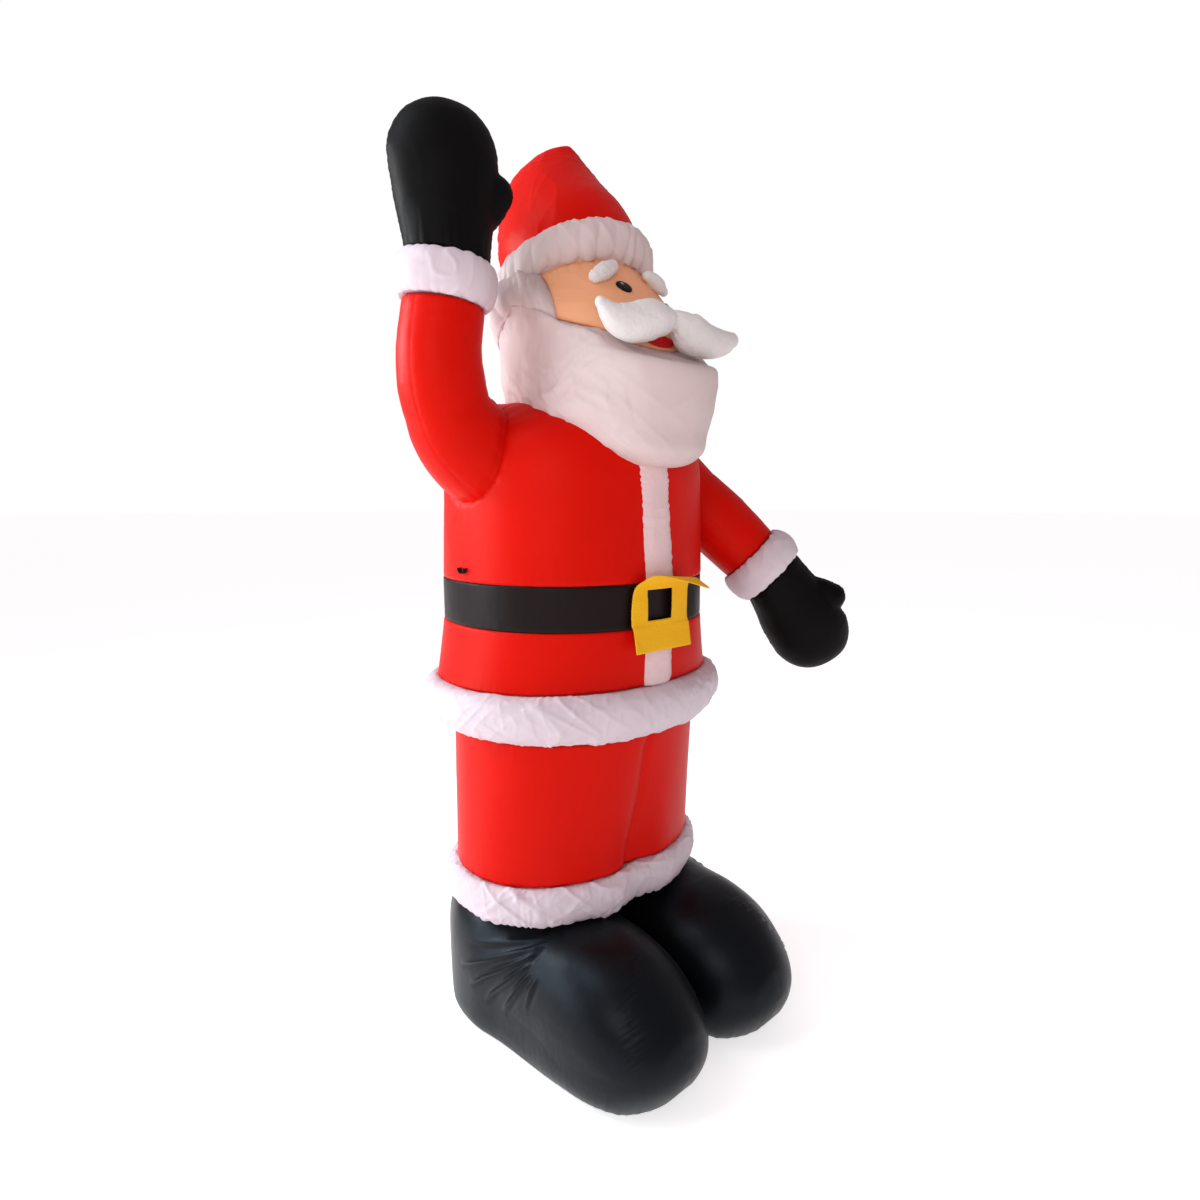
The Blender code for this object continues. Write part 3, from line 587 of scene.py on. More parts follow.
def body_surface(u, z, grow=0.0):
    """Points of the body's outline, u in turns from the front."""
    half, fold = body_half(z)
    x = (half[..., 0] + grow) * signed_power(np.sin(2 * np.pi * u), 2 / BODY_SQUARENESS)
    y = -(half[..., 1] + grow) * signed_power(np.cos(2 * np.pi * u), 2 / BODY_SQUARENESS)
    y = y - np.sign(y) * fold * bell(x, 0.0, LEG_FOLD_HALF_WIDTH)
    return np.stack([x, y, z], -1)


def angles_round(count):
    return 2 * np.pi * np.arange(count) / count


def even_grid(columns, rows):
    """u round and t up, as two grids."""
    return np.meshgrid(np.arange(columns) / columns, np.linspace(0, 1, rows))


def body_band(low, high, rows):
    """The grid of a body panel: turns round it, shares up it, and its points."""
    u, t = even_grid(PANEL_COLUMNS, rows)
    return u, t, body_surface(u, low + GAP + (high - low - 2 * GAP) * t)


def roll_rows(t):
    """Shares of a roll's height, closer together near its seams, and how far it swells there."""
    share = (1 - np.cos(np.pi * t)) / 2
    return share, 2 * np.sqrt(np.clip(share * (1 - share), 0, None))


def trim_piece(name, low, high, bulge, rows, count, seed, rate, depth):
    """A stuffed white roll, gathered along both of its seams and crossed by slanting folds."""
    u, t = even_grid(TRIM_COLUMNS, rows)
    share, swell = roll_rows(t)
    points = body_surface(u, low + GAP + (high - low - 2 * GAP) * share, bulge * swell)
    below, over = seam_distances(t, 1.35 * (high - low))
    wander = 0.3 / count * lumps(points * (1, 1, 0.5), 0.07, seed + 5)
    amount = gathers(u, below, count, seed, depth * 1.25, 0.028, wander)
    amount += gathers(u, over, int(count * 1.2), seed + 1, depth * 0.55, 0.014, wander)
    amount += 0.85 * depth * slanting(points, rate, 0.04, seed + 10)
    amount += 0.004 * lumps(points, 0.12, seed + 3)
    grid_piece(name, pushed(points, seamed(amount, below, over)), WHITE)


def panel(points, u, below, over, counts, seed, depths=(0.002, 0.002), runs=(0.014, 0.014)):
    """A taut fabric panel: short puckers at its two seams and a few slack waves."""
    wander = 0.2 / max(counts) * lumps(points, 0.12, seed + 7)
    amount = 0.003 * lumps(points * (1, 1, 0.7), 0.3, seed + 4, 2)
    amount += 0.0007 * folds(twisted(points, 1.2, 0.35), 0.1, seed + 5)
    for i, (away, count, depth, run) in enumerate(zip((below, over), counts, depths, runs)):
        amount += gathers(u, away, count, seed + i, depth, run, wander)
        amount += gathers(u, away, count // 4, seed + 2 + i, depth * 0.45, run * 3, wander)
        amount += groove(away, 0.0015)
    return amount


def tube_distance(points, line, radii):
    """Distance from points to the outside of a tapering tube."""
    best = np.full(points.shape[:-1], 9.0)
    for place, radius in zip(line, radii):
        best = np.minimum(best, np.linalg.norm(points - place, axis=-1) - radius)
    return best


def sleeve_line(points, count):
    rows = [(i / (len(points) - 1), *point) for i, point in enumerate(points)]
    t = np.linspace(0, 1, count)
    radii = SLEEVE_RADIUS + (SHOULDER_RADIUS - SLEEVE_RADIUS) * np.clip(1 - 1.8 * t, 0, None)
    return curve(rows, t), radii


def build_trousers():
    u, t, points = body_band(TROUSER_TRIM, TROUSERS, 50)
    x, y, z = np.moveaxis(points, -1, 0)
    amount = panel(points, u, z - TROUSER_TRIM, TROUSERS - z, (90, 80), 11)
    # The crease where the legs meet in front, a little to the right at the hem
    from_crease = x + 0.03 * (1 - t) + 0.004 * np.sin(9 * t)
    amount -= 0.01 * np.exp(-np.abs(from_crease) / 0.011) * (y < 0)
    amount -= 0.004 * np.exp(-np.abs(x) / 0.016) * (y > 0)
    grid_piece("trousers", pushed(points, amount), RED)


def build_band(name, low, high, rows, counts, seed, depths, finish):
    u, _, points = body_band(low, high, rows)
    z = points[..., 2]
    amount = panel(points, u, z - low, high - z, counts, seed, depths, (0.01, 0.01))
    grid_piece(name, pushed(points, amount), finish)


def build_coat():
    u, t = even_grid(COAT_COLUMNS, COAT_ROWS)
    chest_share = 0.45
    chest = BELT + GAP + (CHEST - BELT) * ramp(t, 0.0, chest_share)
    rising = np.sin(ramp(t, chest_share, 1.0) * np.pi / 2) ** 0.9
    z = np.where(t < chest_share, chest, CHEST + (NECK - CHEST - GAP) * rising)
    points = body_surface(u, z)
    neck_away = np.ones(z.shape)
    amount = panel(points, u, z - BELT, neck_away, (80, 60), 41, (0.0016, 0.0), (0.012, 0.02))
    # The shoulders lie lower under the beard
    amount -= SHOULDER_DIP * bell(z, SHOULDER_DIP_LEVEL, 0.055) * ramp(points[..., 1], 0.12, 0.02)
    for line_points in (RIGHT_SLEEVE_LINE, LEFT_SLEEVE_LINE):
        line, radii = sleeve_line(line_points, 40)
        shoulder = line[12]
        away = np.clip(tube_distance(points, line, radii), 0, None)
        around = np.arctan2(points[..., 2] - shoulder[2], points[..., 1] - shoulder[1]) / (2 * np.pi)
        amount += groove(away, 0.005, 0.009) + gathers(around, away, 22, 47, 0.003, 0.035)
    grid_piece("coat", pushed(points, amount), RED)


def build_body():
    build_trousers()
    build_band("coat_skirt", COAT_TRIM, SKIRT, 30, (90, 80), 23, (0.003, 0.0015), RED)
    build_band("belt", SKIRT, BELT, 22, (80, 80), 31, (0.0012, 0.0012), BELT_BLACK)
    build_coat()
    trim_piece("coat_trim", TROUSERS, COAT_TRIM, 0.056, 52, 92, 53, 3.0, 0.0045)
    trim_piece("trouser_trim", BOOT, TROUSER_TRIM, 0.03, 44, 78, 67, 4.5, 0.007)


def boot_ring(side, place, form):
    """Evenly spaced points of the boot's outline at one place."""
    inner, outer, low, top, lower, upper = form
    angle = 2 * np.pi * (np.arange(720) + 0.5) / 720
    rising = np.cos(angle) > 0
    low, top = max(0.0, low) * BOOT, min(1.0, top) * (BOOT - GAP)
    waist = low + (top - low) * 0.45
    roundness = np.where(rising, upper, lower)
    x = (outer - inner) / 2 * signed_power(np.sin(angle), 2 / roundness)
    reach = np.where(rising, top - waist, (waist - low) * 1.06)
    z = np.maximum(low, waist + reach * signed_power(np.cos(angle), 2 / roundness))
    x = BOOT_MIDDLE + side * (inner + outer) / 2 + x
    gone = np.concatenate([[0.0], np.cumsum(np.hypot(np.diff(x), np.diff(z)))])
    even = np.linspace(0, gone[-1], BOOT_COLUMNS, endpoint=False)
    return np.stack([np.interp(even, gone, x), np.full(BOOT_COLUMNS, -place), np.interp(even, gone, z)], -1)


def fan_folds(points, out, seed):
    """Thin folds fanning out over the boot's outer side from the front of the leg."""
    y, z = points[..., 1], points[..., 2]
    reach = np.hypot(y - FAN_MIDDLE[0], z - FAN_MIDDLE[1])
    turn = np.arctan2(FAN_MIDDLE[1] - z, y - FAN_MIDDLE[0])
    bent = 0.003 * noise(points, 0.09, seed)
    amount = 0.0
    for angle_down, start, end, depth in FAN_FOLDS:
        beside = reach * (turn - math.radians(angle_down)) + bent
        along = ramp(reach, start, start + 0.03) * ramp(reach, end, end - 0.06)
        amount += depth * along * (bell(beside, 0.0, 0.0055) - 0.55 * bell(beside, 0.012, 0.008))
    return -1.7 * ramp(out, 0.2, 0.28) * amount


def build_boot(side_name, seed):
    side = SIDES[side_name]
    share = np.linspace(0.0, 1.0, BOOT_ROWS)
    span = BOOT_FORM[-1][0] - BOOT_FORM[0][0]
    places = BOOT_FORM[0][0] + span * (0.6 * share + 0.4 * roll_rows(share)[0])
    points = np.array([boot_ring(side, *row) for row in zip(places, curve(BOOT_FORM, places))])
    x, y, z = np.moveaxis(points, -1, 0)
    out = side * (x - BOOT_MIDDLE)
    amount = 0.004 * lumps(points * (1.0, 0.6, 1.0), 0.18, seed, 2)
    amount += 0.001 * folds(points * (1.0, 0.45, 1.0), 0.08, seed + 3)
    around = np.arctan2(x - BOOT_MIDDLE - side * 0.19, -y - 0.33) / (2 * np.pi)
    amount += gathers(around, z, 58, seed + 5, 0.005, 0.026) * (0.3 + 0.7 * ramp(-y, 0.3, 0.5))
    amount += fan_folds(points, out, seed + 7)
    # Puckers along the seam over the toe cap
    beside = TOE_SEAM_NORMAL[0] * (TOE_SEAM_POINT[0] - out)
    from_seam = np.abs(beside - TOE_SEAM_NORMAL[1] * (y - TOE_SEAM_POINT[1]))
    over_toe = ramp(z, 0.16, 0.2) * ramp(-y, 0.4, 0.44)
    amount += over_toe * gathers(0.75 * y + 0.64 * z, from_seam, 78, seed + 6, 0.006, 0.013)
    # Flat on the ground and under the trouser trim
    points = pushed(points, amount * ramp(z, 0.0, 0.03) * ramp(z, BOOT, BOOT - 0.01))
    points[..., 2] = np.clip(points[..., 2], 0.0, BOOT - GAP)
    grid_piece("boot_" + side_name, points, BLACK)


# Arms

def tube(line, radii, columns):
    """Grid round a line, its first column carried along without twist."""
    along = unit(np.gradient(line, axis=0))
    side = np.cross(along[0], (0.0, 0.0, 1.0))
    if np.linalg.norm(side) < 0.1:
        side = np.cross(along[0], (1.0, 0.0, 0.0))
    sides = []
    for way in along:
        side = side - way * side.dot(way)
        side = side / np.linalg.norm(side)
        sides.append(side)
    sides = np.array(sides)[:, None]
    other = np.cross(along[:, None], sides)
    angle = angles_round(columns)[None, :, None]
    radii = np.broadcast_to(np.asarray(radii, float), (len(line),))[:, None, None]
    return line[:, None] + radii * (sides * np.cos(angle) + other * np.sin(angle))


def coat_distance(points):
    """Rough distance from the coat's surface, positive outside."""
    half, _ = body_half(np.clip(points[..., 2], BELT, NECK - 0.002))
    ratio = (
        (np.abs(points[..., 0]) / half[..., 0]) ** BODY_SQUARENESS
        + (np.abs(points[..., 1]) / half[..., 1]) ** BODY_SQUARENESS
    ) ** (1 / BODY_SQUARENESS)
    return (ratio - 1) * half.mean(-1)


def build_arm(side, line_points, lean, thumb_side, seed):
    line, radii = sleeve_line(line_points, SLEEVE_ROWS)
    points = tube(line, radii, SLEEVE_COLUMNS)
    u, t = even_grid(SLEEVE_COLUMNS, SLEEVE_ROWS)
    off_coat = np.clip(coat_distance(points), 0, None)
    to_cuff = (1 - t) * np.linalg.norm(np.diff(line, axis=0), axis=1).sum()
    amount = gathers(u, off_coat, 22, seed, 0.003, 0.03)
    amount += gathers(u, to_cuff, 24, seed + 1, 0.002, 0.018)
    amount += 0.004 * lumps(points, 0.14, seed + 2, 2)
    amount += 0.0012 * folds(points * (0.8, 0.8, 1.4), 0.08, seed + 3)
    # Creases on the inside of the elbow
    ways = unit(np.gradient(line, axis=0))
    bend = np.gradient(ways, axis=0)
    turn = np.linalg.norm(bend, axis=-1)
    spoke = unit(points - line[:, None])
    facing = (spoke * unit(bend)[:, None]).sum(-1)
    inside = np.clip(facing, 0, 1) ** 2 * (turn / turn.max())[:, None]
    amount += 0.0045 * inside * (pleats(t + 0.02 * np.sin(9 * u), 13, seed + 4)[0] - 0.6)
    amount += SLEEVE_SLACK * np.sin(np.pi * t)
    # The long seam up the outside of the sleeve
    outer = np.array((SIDES[side] * 0.94, -0.34, 0.0))
    outer = unit(outer - ways * (ways @ outer)[:, None])[:, None]
    seam_angle = np.arctan2((spoke * np.cross(ways[:, None], outer)).sum(-1), (spoke * outer).sum(-1))
    from_seam = np.abs(seam_angle) * SLEEVE_RADIUS
    amount += groove(from_seam, 0.001, 0.003) + gathers(t, from_seam, 44, seed + 13, 0.0032, 0.013)
    amount += groove(to_cuff) + groove(off_coat, 0.003, 0.008)
    grid_piece("sleeve_" + side, pushed(points, amount), RED)

    end = line[-1]
    coarse, _ = sleeve_line(line_points, 12)
    along = unit(coarse[-1] - coarse[-2])
    build_cuff("cuff_" + side, end, along, seed + 6)
    build_mitten("mitten_" + side, end + along * (CUFF_HEIGHT + GAP), along, lean, thumb_side, seed + 9)


def build_cuff(name, root, along, seed):
    u, t = even_grid(CUFF_COLUMNS, CUFF_ROWS)
    share, swell = roll_rows(np.linspace(0, 1, CUFF_ROWS))
    line = root + along * (GAP + (CUFF_HEIGHT - 2 * GAP) * share)[:, None]
    points = tube(line, CUFF_SEAM_RADIUS + CUFF_BULGE * swell, CUFF_COLUMNS)
    below, over = seam_distances(t, 1.3 * CUFF_HEIGHT)
    amount = gathers(u, below, 22, seed, 0.005, 0.02) + gathers(u, over, 20, seed + 1, 0.005, 0.02)
    amount += 0.003 * lumps(points, 0.07, seed + 2) + 0.0035 * folds(points, 0.04, seed + 6)
    grid_piece(name, pushed(points, seamed(amount, below, over)), WHITE)


def hand_grid(root, wrist, along, across):
    form = (
        (0.00, MITTEN_WRIST_RADIUS, MITTEN_WRIST_RADIUS),
        (0.2, MITTEN_HALF_WIDTH * 0.86, MITTEN_HALF_THICKNESS * 1.02),
        (0.45, MITTEN_HALF_WIDTH * 0.97, MITTEN_HALF_THICKNESS),
        (0.68, MITTEN_HALF_WIDTH, MITTEN_HALF_THICKNESS * 0.94),
        (0.84, MITTEN_HALF_WIDTH * 0.84, MITTEN_HALF_THICKNESS * 0.78),
        (0.94, MITTEN_HALF_WIDTH * 0.58, MITTEN_HALF_THICKNESS * 0.52),
        (0.985, MITTEN_HALF_WIDTH * 0.3, MITTEN_HALF_THICKNESS * 0.26),
        (1.00, 0.004, 0.003),
    )
    shares = np.sin(np.linspace(0, 1, 60) * np.pi / 2)
    angle = angles_round(120)
    rings = []
    for share, (half_width, half_thickness) in zip(shares, curve(form, shares)):
        facing = unit(wrist + (along - wrist) * min(1.0, share * 2.5))
        wide = unit(across - facing * across.dot(facing))
        thick = np.cross(facing, wide)
        ring = np.outer(np.cos(angle), wide * half_width) + np.outer(np.sin(angle), thick * half_thickness)
        rings.append(root + along * MITTEN_LENGTH * share + ring)
    return np.array(rings)


def thumb_grid(root, along, across):
    knots = (
        (0.0, *(root + along * MITTEN_LENGTH * 0.2)),
        (0.5, *(root + along * MITTEN_LENGTH * 0.31 + across * THUMB_REACH * 0.66)),
        (1.0, *(root + along * MITTEN_LENGTH * THUMB_TIP_SHARE + across * THUMB_REACH)),
    )
    t = np.linspace(0, 1, 30)
    line = curve(knots, t)
    way = unit(line[-1] - line[-2])
    cap = np.sin(np.linspace(0.1, 1, 12) * np.pi / 2)
    line = np.concatenate([line, line[-1] + way * THUMB_RADIUS * cap[:, None]])
    radii = np.concatenate([
        THUMB_RADIUS * curve(((0, 0.8), (0.2, 1.0), (0.8, 1.0), (1.0, 0.95)), t)[:, 0],
        THUMB_RADIUS * 0.95 * np.sqrt(np.clip(1 - cap**2, 0.0004, 1)),
    ])
    return tube(line, radii, 60)


def build_mitten(name, root, wrist, lean, thumb_side, seed):
    along = unit(np.array(lean, float))
    thumb_side = np.array(thumb_side, float)
    across = unit(thumb_side - along * thumb_side.dot(along))
    hand_verts, hand_faces = closed_grid(hand_grid(root, wrist, along, across))
    thumb_verts, thumb_faces = closed_grid(thumb_grid(root, along, across))
    start = len(hand_verts)
    verts = np.concatenate([hand_verts, thumb_verts])
    faces = hand_faces + [[i + start for i in face] for face in thumb_faces]
    verts, faces = remeshed(verts, faces, MITTEN_VOXEL, 8)
    from_root = verts - root
    rising = np.einsum("ij,j->i", from_root, along)
    palm_way = np.cross(along, across)
    around = np.arctan2(from_root @ palm_way, from_root @ across) / (2 * np.pi)
    edge = np.abs(from_root @ palm_way)
    amount = 0.003 * lumps(verts, 0.09, seed, 2) + 0.0012 * folds(verts * (1, 1, 0.5), 0.06, seed + 3)
    amount += gathers(around, rising, 22, seed + 4, 0.0035, 0.035) + groove(rising)
    amount += gathers(rising * 4.0, edge, 20, seed + 5, 0.004, 0.016) + groove(edge)
    verts = verts + vertex_normals(verts, faces) * (amount * np.clip(rising / 0.006, 0, 1))[:, None]
    make_piece(name, verts, faces, MITTEN_BLACK)


def remeshed(verts, faces, size, smoothing):
    """One even closed skin round overlapping closed meshes, with its creases softened."""
    mesh = bpy.data.meshes.new("blank")
    mesh.from_pydata(np.asarray(verts).tolist(), [], faces)
    blank = add_object("blank", mesh)
    remesh = blank.modifiers.new("remesh", "REMESH")
    remesh.mode = "VOXEL"
    remesh.voxel_size = size
    smooth = blank.modifiers.new("smooth", "SMOOTH")
    smooth.factor = 0.5
    smooth.iterations = smoothing
    graph = bpy.context.evaluated_depsgraph_get()
    done = blank.evaluated_get(graph).to_mesh()
    coords = np.zeros(len(done.vertices) * 3)
    done.vertices.foreach_get("co", coords)
    polygons = [list(face.vertices) for face in done.polygons]
    blank.evaluated_get(graph).to_mesh_clear()
    bpy.data.objects.remove(blank)
    bpy.data.meshes.remove(mesh)
    return coords.reshape(-1, 3), polygons


def vertex_normals(verts, faces):
    corners = np.array([face[:3] for face in faces])
    a, b, c = (verts[corners[:, k]] for k in range(3))
    ways = np.cross(b - a, c - a)
    total = np.zeros_like(verts)
    for k in range(3):
        np.add.at(total, corners[:, k], ways)
    return unit(total)


# Head

def jaw_seam(y):
    return np.interp(y, *np.array(JAW_SEAM).T)


def trim_seam(y):
    return HAT_TRIM_BOTTOM - HAT_TRIM_TILT * y


def jaw_level(y):
    """The lower edge of the head: the jaw's seam, or a hair's height below the hat at the back."""
    return np.minimum(jaw_seam(y), trim_seam(y) - HAIR_HEIGHT)


def level_oval(half, middle_y, angle):
    x = half[0] * signed_power(np.sin(angle), 2 / HEAD_SQUARENESS)
    return x, middle_y - half[1] * signed_power(np.cos(angle), 2 / HEAD_SQUARENESS)


def head_surface(angle, share):
    """Points between the jaw seam and the hat trim."""
    angle, share = np.broadcast_arrays(np.asarray(angle, float), np.asarray(share, float))
    low_x, low_y = level_oval(JAW_SEAM_HALF, JAW_SEAM_MIDDLE, angle)
    high_x, high_y = level_oval(HAT_TRIM_HALF, 0.0, angle)
    low = np.stack([low_x, low_y, jaw_level(low_y)], -1)
    high = np.stack([high_x, high_y, trim_seam(high_y) - GAP], -1)
    out = np.stack([np.sin(angle), -np.cos(angle), np.zeros_like(angle)], -1)
    share = share[..., None]
    return low + (high - low) * share + out * HEAD_BULGE * 4 * share * (1 - share)


def face_place(angle, level):
    """The point of the face at an angle and a height, with its sideways, upward and outward ways."""
    shares = np.linspace(0, 1, 2001)
    heights = head_surface(angle, shares)[:, 2]
    share = np.interp(level, heights, shares)
    place = head_surface(angle, share)
    sideways = unit(head_surface(angle + 0.02, share) - place)
    upward = unit(head_surface(angle, share + 0.02) - place)
    return place, sideways, upward, unit(np.cross(sideways, upward))


def wedge_distance(points):
    """How far points are outside the two upright planes of the face, positive outside."""
    half = FACE_BACK_HALF + FACE_FLARE * (FACE_BACK_Y - points[..., 1])
    return (np.abs(points[..., 0]) - half) / math.hypot(1.0, FACE_FLARE)


def beside_face(points):
    """1 on the hair beside the face, 0 on the face and at the back."""
    return ramp(wedge_distance(points), -0.002, 0.028) * ramp(points[..., 1], 0.12, 0.02)


def beard_grid(angle):
    """The beard from its underside to the jaw, and the head above it up to the hat trim."""
    rows = []
    for height, width, depth, middle in BEARD_FORM:
        x, y = level_oval((width, depth), middle, angle)
        rows.append(np.stack([x, y, np.full(len(angle), BEARD_BOTTOM + height)], -1))
    x, y = level_oval(BEARD_SHELF_HALF, BEARD_SHELF_MIDDLE, angle)
    rows.append(np.stack([x, y, jaw_level(y) - 0.012], -1))
    pole = rows[0].mean(0) + (0.0, 0.0, -0.004)
    rows.insert(0, pole + (rows[0] - pole) * 0.02)
    jaw_row = len(rows)
    rows += [head_surface(angle, share) for share in np.linspace(0, 1, 6)]
    flat = np.array(rows).reshape(len(rows), -1)
    knots = np.concatenate([np.arange(len(rows), dtype=float)[:, None], flat], 1)
    fine = np.concatenate([np.linspace(0, jaw_row, 84)[:-1], np.linspace(jaw_row, len(rows) - 1, 44)])
    return curve(knots, fine).reshape(len(fine), len(angle), 3), fine[:, None]


def build_beard():
    angle = angles_round(BEARD_COLUMNS)
    points, row = beard_grid(angle)
    x, y, z = np.moveaxis(points, -1, 0)
    u = angle / (2 * np.pi)
    seam_down = np.maximum(0.0, trim_seam(y) - z)
    side, jaw = wedge_distance(points), jaw_level(y) - z
    front = y < FACE_BACK_Y
    # Distance from the face's seam: sideways above the jaw, downwards below it
    away = np.where(front, np.hypot(np.maximum(side, 0), np.maximum(jaw, 0)), 0.3)
    away = np.where(front & (side < 0) & (jaw < 0), np.maximum(side, jaw), away)
    off_face = np.clip(away, 0, None)
    wander = 0.004 * lumps(points, 0.1, 94)
    amount = 0.006 * lumps(points * (1, 1, 0.7), 0.17, 91, 2)
    amount += 0.0036 * slanting(points, 3.0, 0.07, 95) * (0.4 + 0.6 * ramp(y, -0.36, -0.26))
    amount += gathers(u, seam_down, 32, 96, 0.012, 0.05, wander)
    # The hair stands out beside the face, and the beard over the shoulders
    beside = beside_face(points)
    amount += HAIR_BULGE * beside * bell(jaw, -0.05, 0.05)
    hair = 0.02 * bell(seam_down, 0.0, 0.03) + gathers(u, seam_down, 40, 99, 0.011, 0.1, lean=0.1)
    amount += beside * hair
    cheek = ramp(np.abs(x), 0.15, 0.22) * ramp(jaw, 0.0, 0.03)
    amount += 0.006 * cheek * slanting(points, 5.0, 0.036, 89)
    amount += BEARD_SWELL * bell(z, BEARD_SWELL_LEVEL, 0.05) * ramp(y, -0.38, -0.28)
    amount += gathers(u, off_face, 60, 97, 0.003, 0.016, wander) * front
    amount *= ramp(row, 0.0, 1.5)
    amount += groove(off_face, 0.004, 0.007) * front + groove(seam_down)
    amount = np.where(front & (away < 0), -0.012, amount)
    off_coat = np.clip(coat_distance(points), 0, None) + np.clip(z - NECK, 0, None)
    amount += gathers(u, off_coat, 30, 98, 0.004, 0.03) * (off_coat < 0.2)
    grid_piece("beard", pushed(points, amount), BEARD_WHITE)


def build_face():
    """The face panel, from seam to seam."""
    tries = np.linspace(0.2, 1.5, 1400)
    shares = np.linspace(0, 1.03, FACE_ROWS)
    edge = np.array([np.interp(0.0, wedge_distance(head_surface(tries, s)), tries) for s in shares])
    across = np.linspace(-1, 1, FACE_COLUMNS)[None]
    angles = edge[:, None] * across
    share = shares[:, None] + 0 * across
    points = head_surface(angles, share)
    beside = edge[:, None] * (1 - np.abs(across)) * 0.23
    below, over = seam_distances(share, 0.14)
    rim = np.minimum(np.minimum(beside, below), over)
    amount = 0.003 * lumps(points, 0.12, 101, 2) + 0.0012 * folds(points * (0.6, 0.6, 1.3), 0.06, 103)
    amount += gathers(angles / 2.4, over, 18, 104, 0.003, 0.016)
    amount += gathers(angles / 2.4, below, 18, 105, 0.0025, 0.014)
    amount += gathers(share, beside, 8, 106, 0.003, 0.016)
    amount += 0.002 * (1 - bell(rim, 0.0, 0.02)) - 0.003 * bell(rim, 0.0, 0.004)
    front = pushed(points, amount, round_about=False)
    back = pushed(points, np.full(share.shape, -FACE_THICKNESS), round_about=False)
    make_piece("face", *slab(front, back), SKIN)


def build_hat_trim():
    u, t = even_grid(HAT_TRIM_COLUMNS, HAT_TRIM_ROWS)
    share, swell = roll_rows(t)
    out = HAT_TRIM_BULGE * swell
    angle = 2 * np.pi * u
    x = (HAT_TRIM_HALF[0] + out) * np.sin(angle)
    y = -(HAT_TRIM_HALF[1] + out) * np.cos(angle)
    points = np.stack([x, y, trim_seam(y) + GAP + (HAT_TRIM_HEIGHT - 2 * GAP) * share], -1)
    below, over = seam_distances(t, 0.13)
    wander = 0.008 * lumps(points, 0.08, 113)
    beside = beside_face(points)
    amount = gathers(u, below, 34, 116, 0.015, 0.06, wander)
    amount += gathers(u, over, 64, 112, 0.005, 0.018, wander)
    amount *= 1 + 0.5 * beside
    amount += 0.0045 * lumps(points, 0.09, 114) + 0.0045 * slanting(points, 3.5, 0.042, 115)
    amount = seamed(amount, below, over, 0.001) + 0.02 * beside * bell(below, 0.0, 0.035)
    grid_piece("hat_trim", pushed(points, amount), BEARD_WHITE)


def build_hat():
    u, t = even_grid(HAT_COLUMNS, HAT_ROWS)
    share = np.sin(t * np.pi / 2) ** 1.15
    half_width, half_depth, middle = np.moveaxis(curve(HAT_FORM, share), -1, 0)
    angle = 2 * np.pi * u
    y = middle - half_depth * np.cos(angle)
    base = HAT_TRIM_BOTTOM + HAT_TRIM_HEIGHT + GAP
    z = base + (HAT_HEIGHT - GAP) * share - HAT_TRIM_TILT * y * (1 - share)
    points = np.stack([half_width * np.sin(angle), y, z], -1)
    below = share * HAT_HEIGHT
    amount = gathers(u, below, 44, 121, 0.002, 0.014)
    amount += 0.005 * lumps(points, 0.16, 122, 2) + 0.0018 * slanting(points, 2.0, 0.07, 124)
    for seam in HAT_SEAMS:
        away = np.abs((u - seam + 0.5) % 1.0 - 0.5) * 2 * np.pi * half_width
        amount += groove(away, 0.0008, 0.003)
        amount += gathers(share * 0.9 - 0.5 * away, away, 20, 125, 0.0085, 0.036)
    amount = amount * ramp(share, 1.0, 0.94) + groove(below)
    grid_piece("hat", pushed(points, amount), RED)


def puff(line, radii, count, columns, flat=1.0):
    """A stuffed roll along a smooth line, rounded at both ends."""
    knots = [(i / (len(line) - 1), *point) for i, point in enumerate(line)]
    sizes = [(i / (len(line) - 1), radius) for i, radius in enumerate(radii)]
    t = np.linspace(0, 1, count)
    path = curve(knots, t)
    size = curve(sizes, t)[:, 0]
    turn = np.sin(np.linspace(0, 1, 14)[1:] * np.pi / 2)
    for end in (0, -1):
        way = unit(path[end] - path[1 if end == 0 else -2])
        extra = path[end] + way * size[end] * turn[:, None]
        shrink = size[end] * np.sqrt(np.clip(1 - turn**2, 0.001, 1))
        if end == 0:
            path, size = np.concatenate([extra[::-1], path]), np.concatenate([shrink[::-1], size])
        else:
            path, size = np.concatenate([path, extra]), np.concatenate([size, shrink])
    points = tube(path, size, columns)
    return path[:, None] + (points - path[:, None]) * np.array([1.0, flat, 1.0])


def build_moustache():
    form = np.array(MOUSTACHE_FORM)
    points = puff(form[:, :3], form[:, 3], 110, 80, 0.88)
    amount = 0.003 * lumps(points, 0.05, 131) + 0.0008 * lumps(points, 0.012, 133)
    from_middle = np.abs(points[..., 0] + 0.004)
    amount += gathers(np.arange(80) / 80, from_middle, 12, 134, 0.004, 0.02)
    amount -= 0.006 * bell(from_middle, 0.0, 0.008)
    grid_piece("moustache", pushed(points, amount), PLUSH)


def build_brow(name, seed):
    line = []
    for angle, level, _ in BROW_FORMS[name]:
        place, _, _, out = face_place(math.radians(angle), level)
        line.append(place + out * BROW_CLEARANCE)
    points = puff(line, [radius for _, _, radius in BROW_FORMS[name]], 40, 40)
    points = pushed(points, 0.004 * lumps(points, 0.03, seed))
    grid_piece("eyebrow_" + name, points, PLUSH)


def build_eye(name):
    side = SIDES[name]
    place, sideways, upward, out = face_place(*EYE_PLACES[name])
    along = sideways * math.cos(EYE_SLANT) + side * upward * math.sin(EYE_SLANT)
    ways = (along, np.cross(out, along), out)
    disc("eye_" + name, place + out * PATCH_LIFT, ways, EYE_HALF, PATCH_THICKNESS, EYE)
    glint = place + out * 0.0072 + side * along * 0.007 + ways[1] * 0.003
    disc("eye_glint_" + name, glint, ways, GLINT_HALF, 0.0012, GLINT, ())


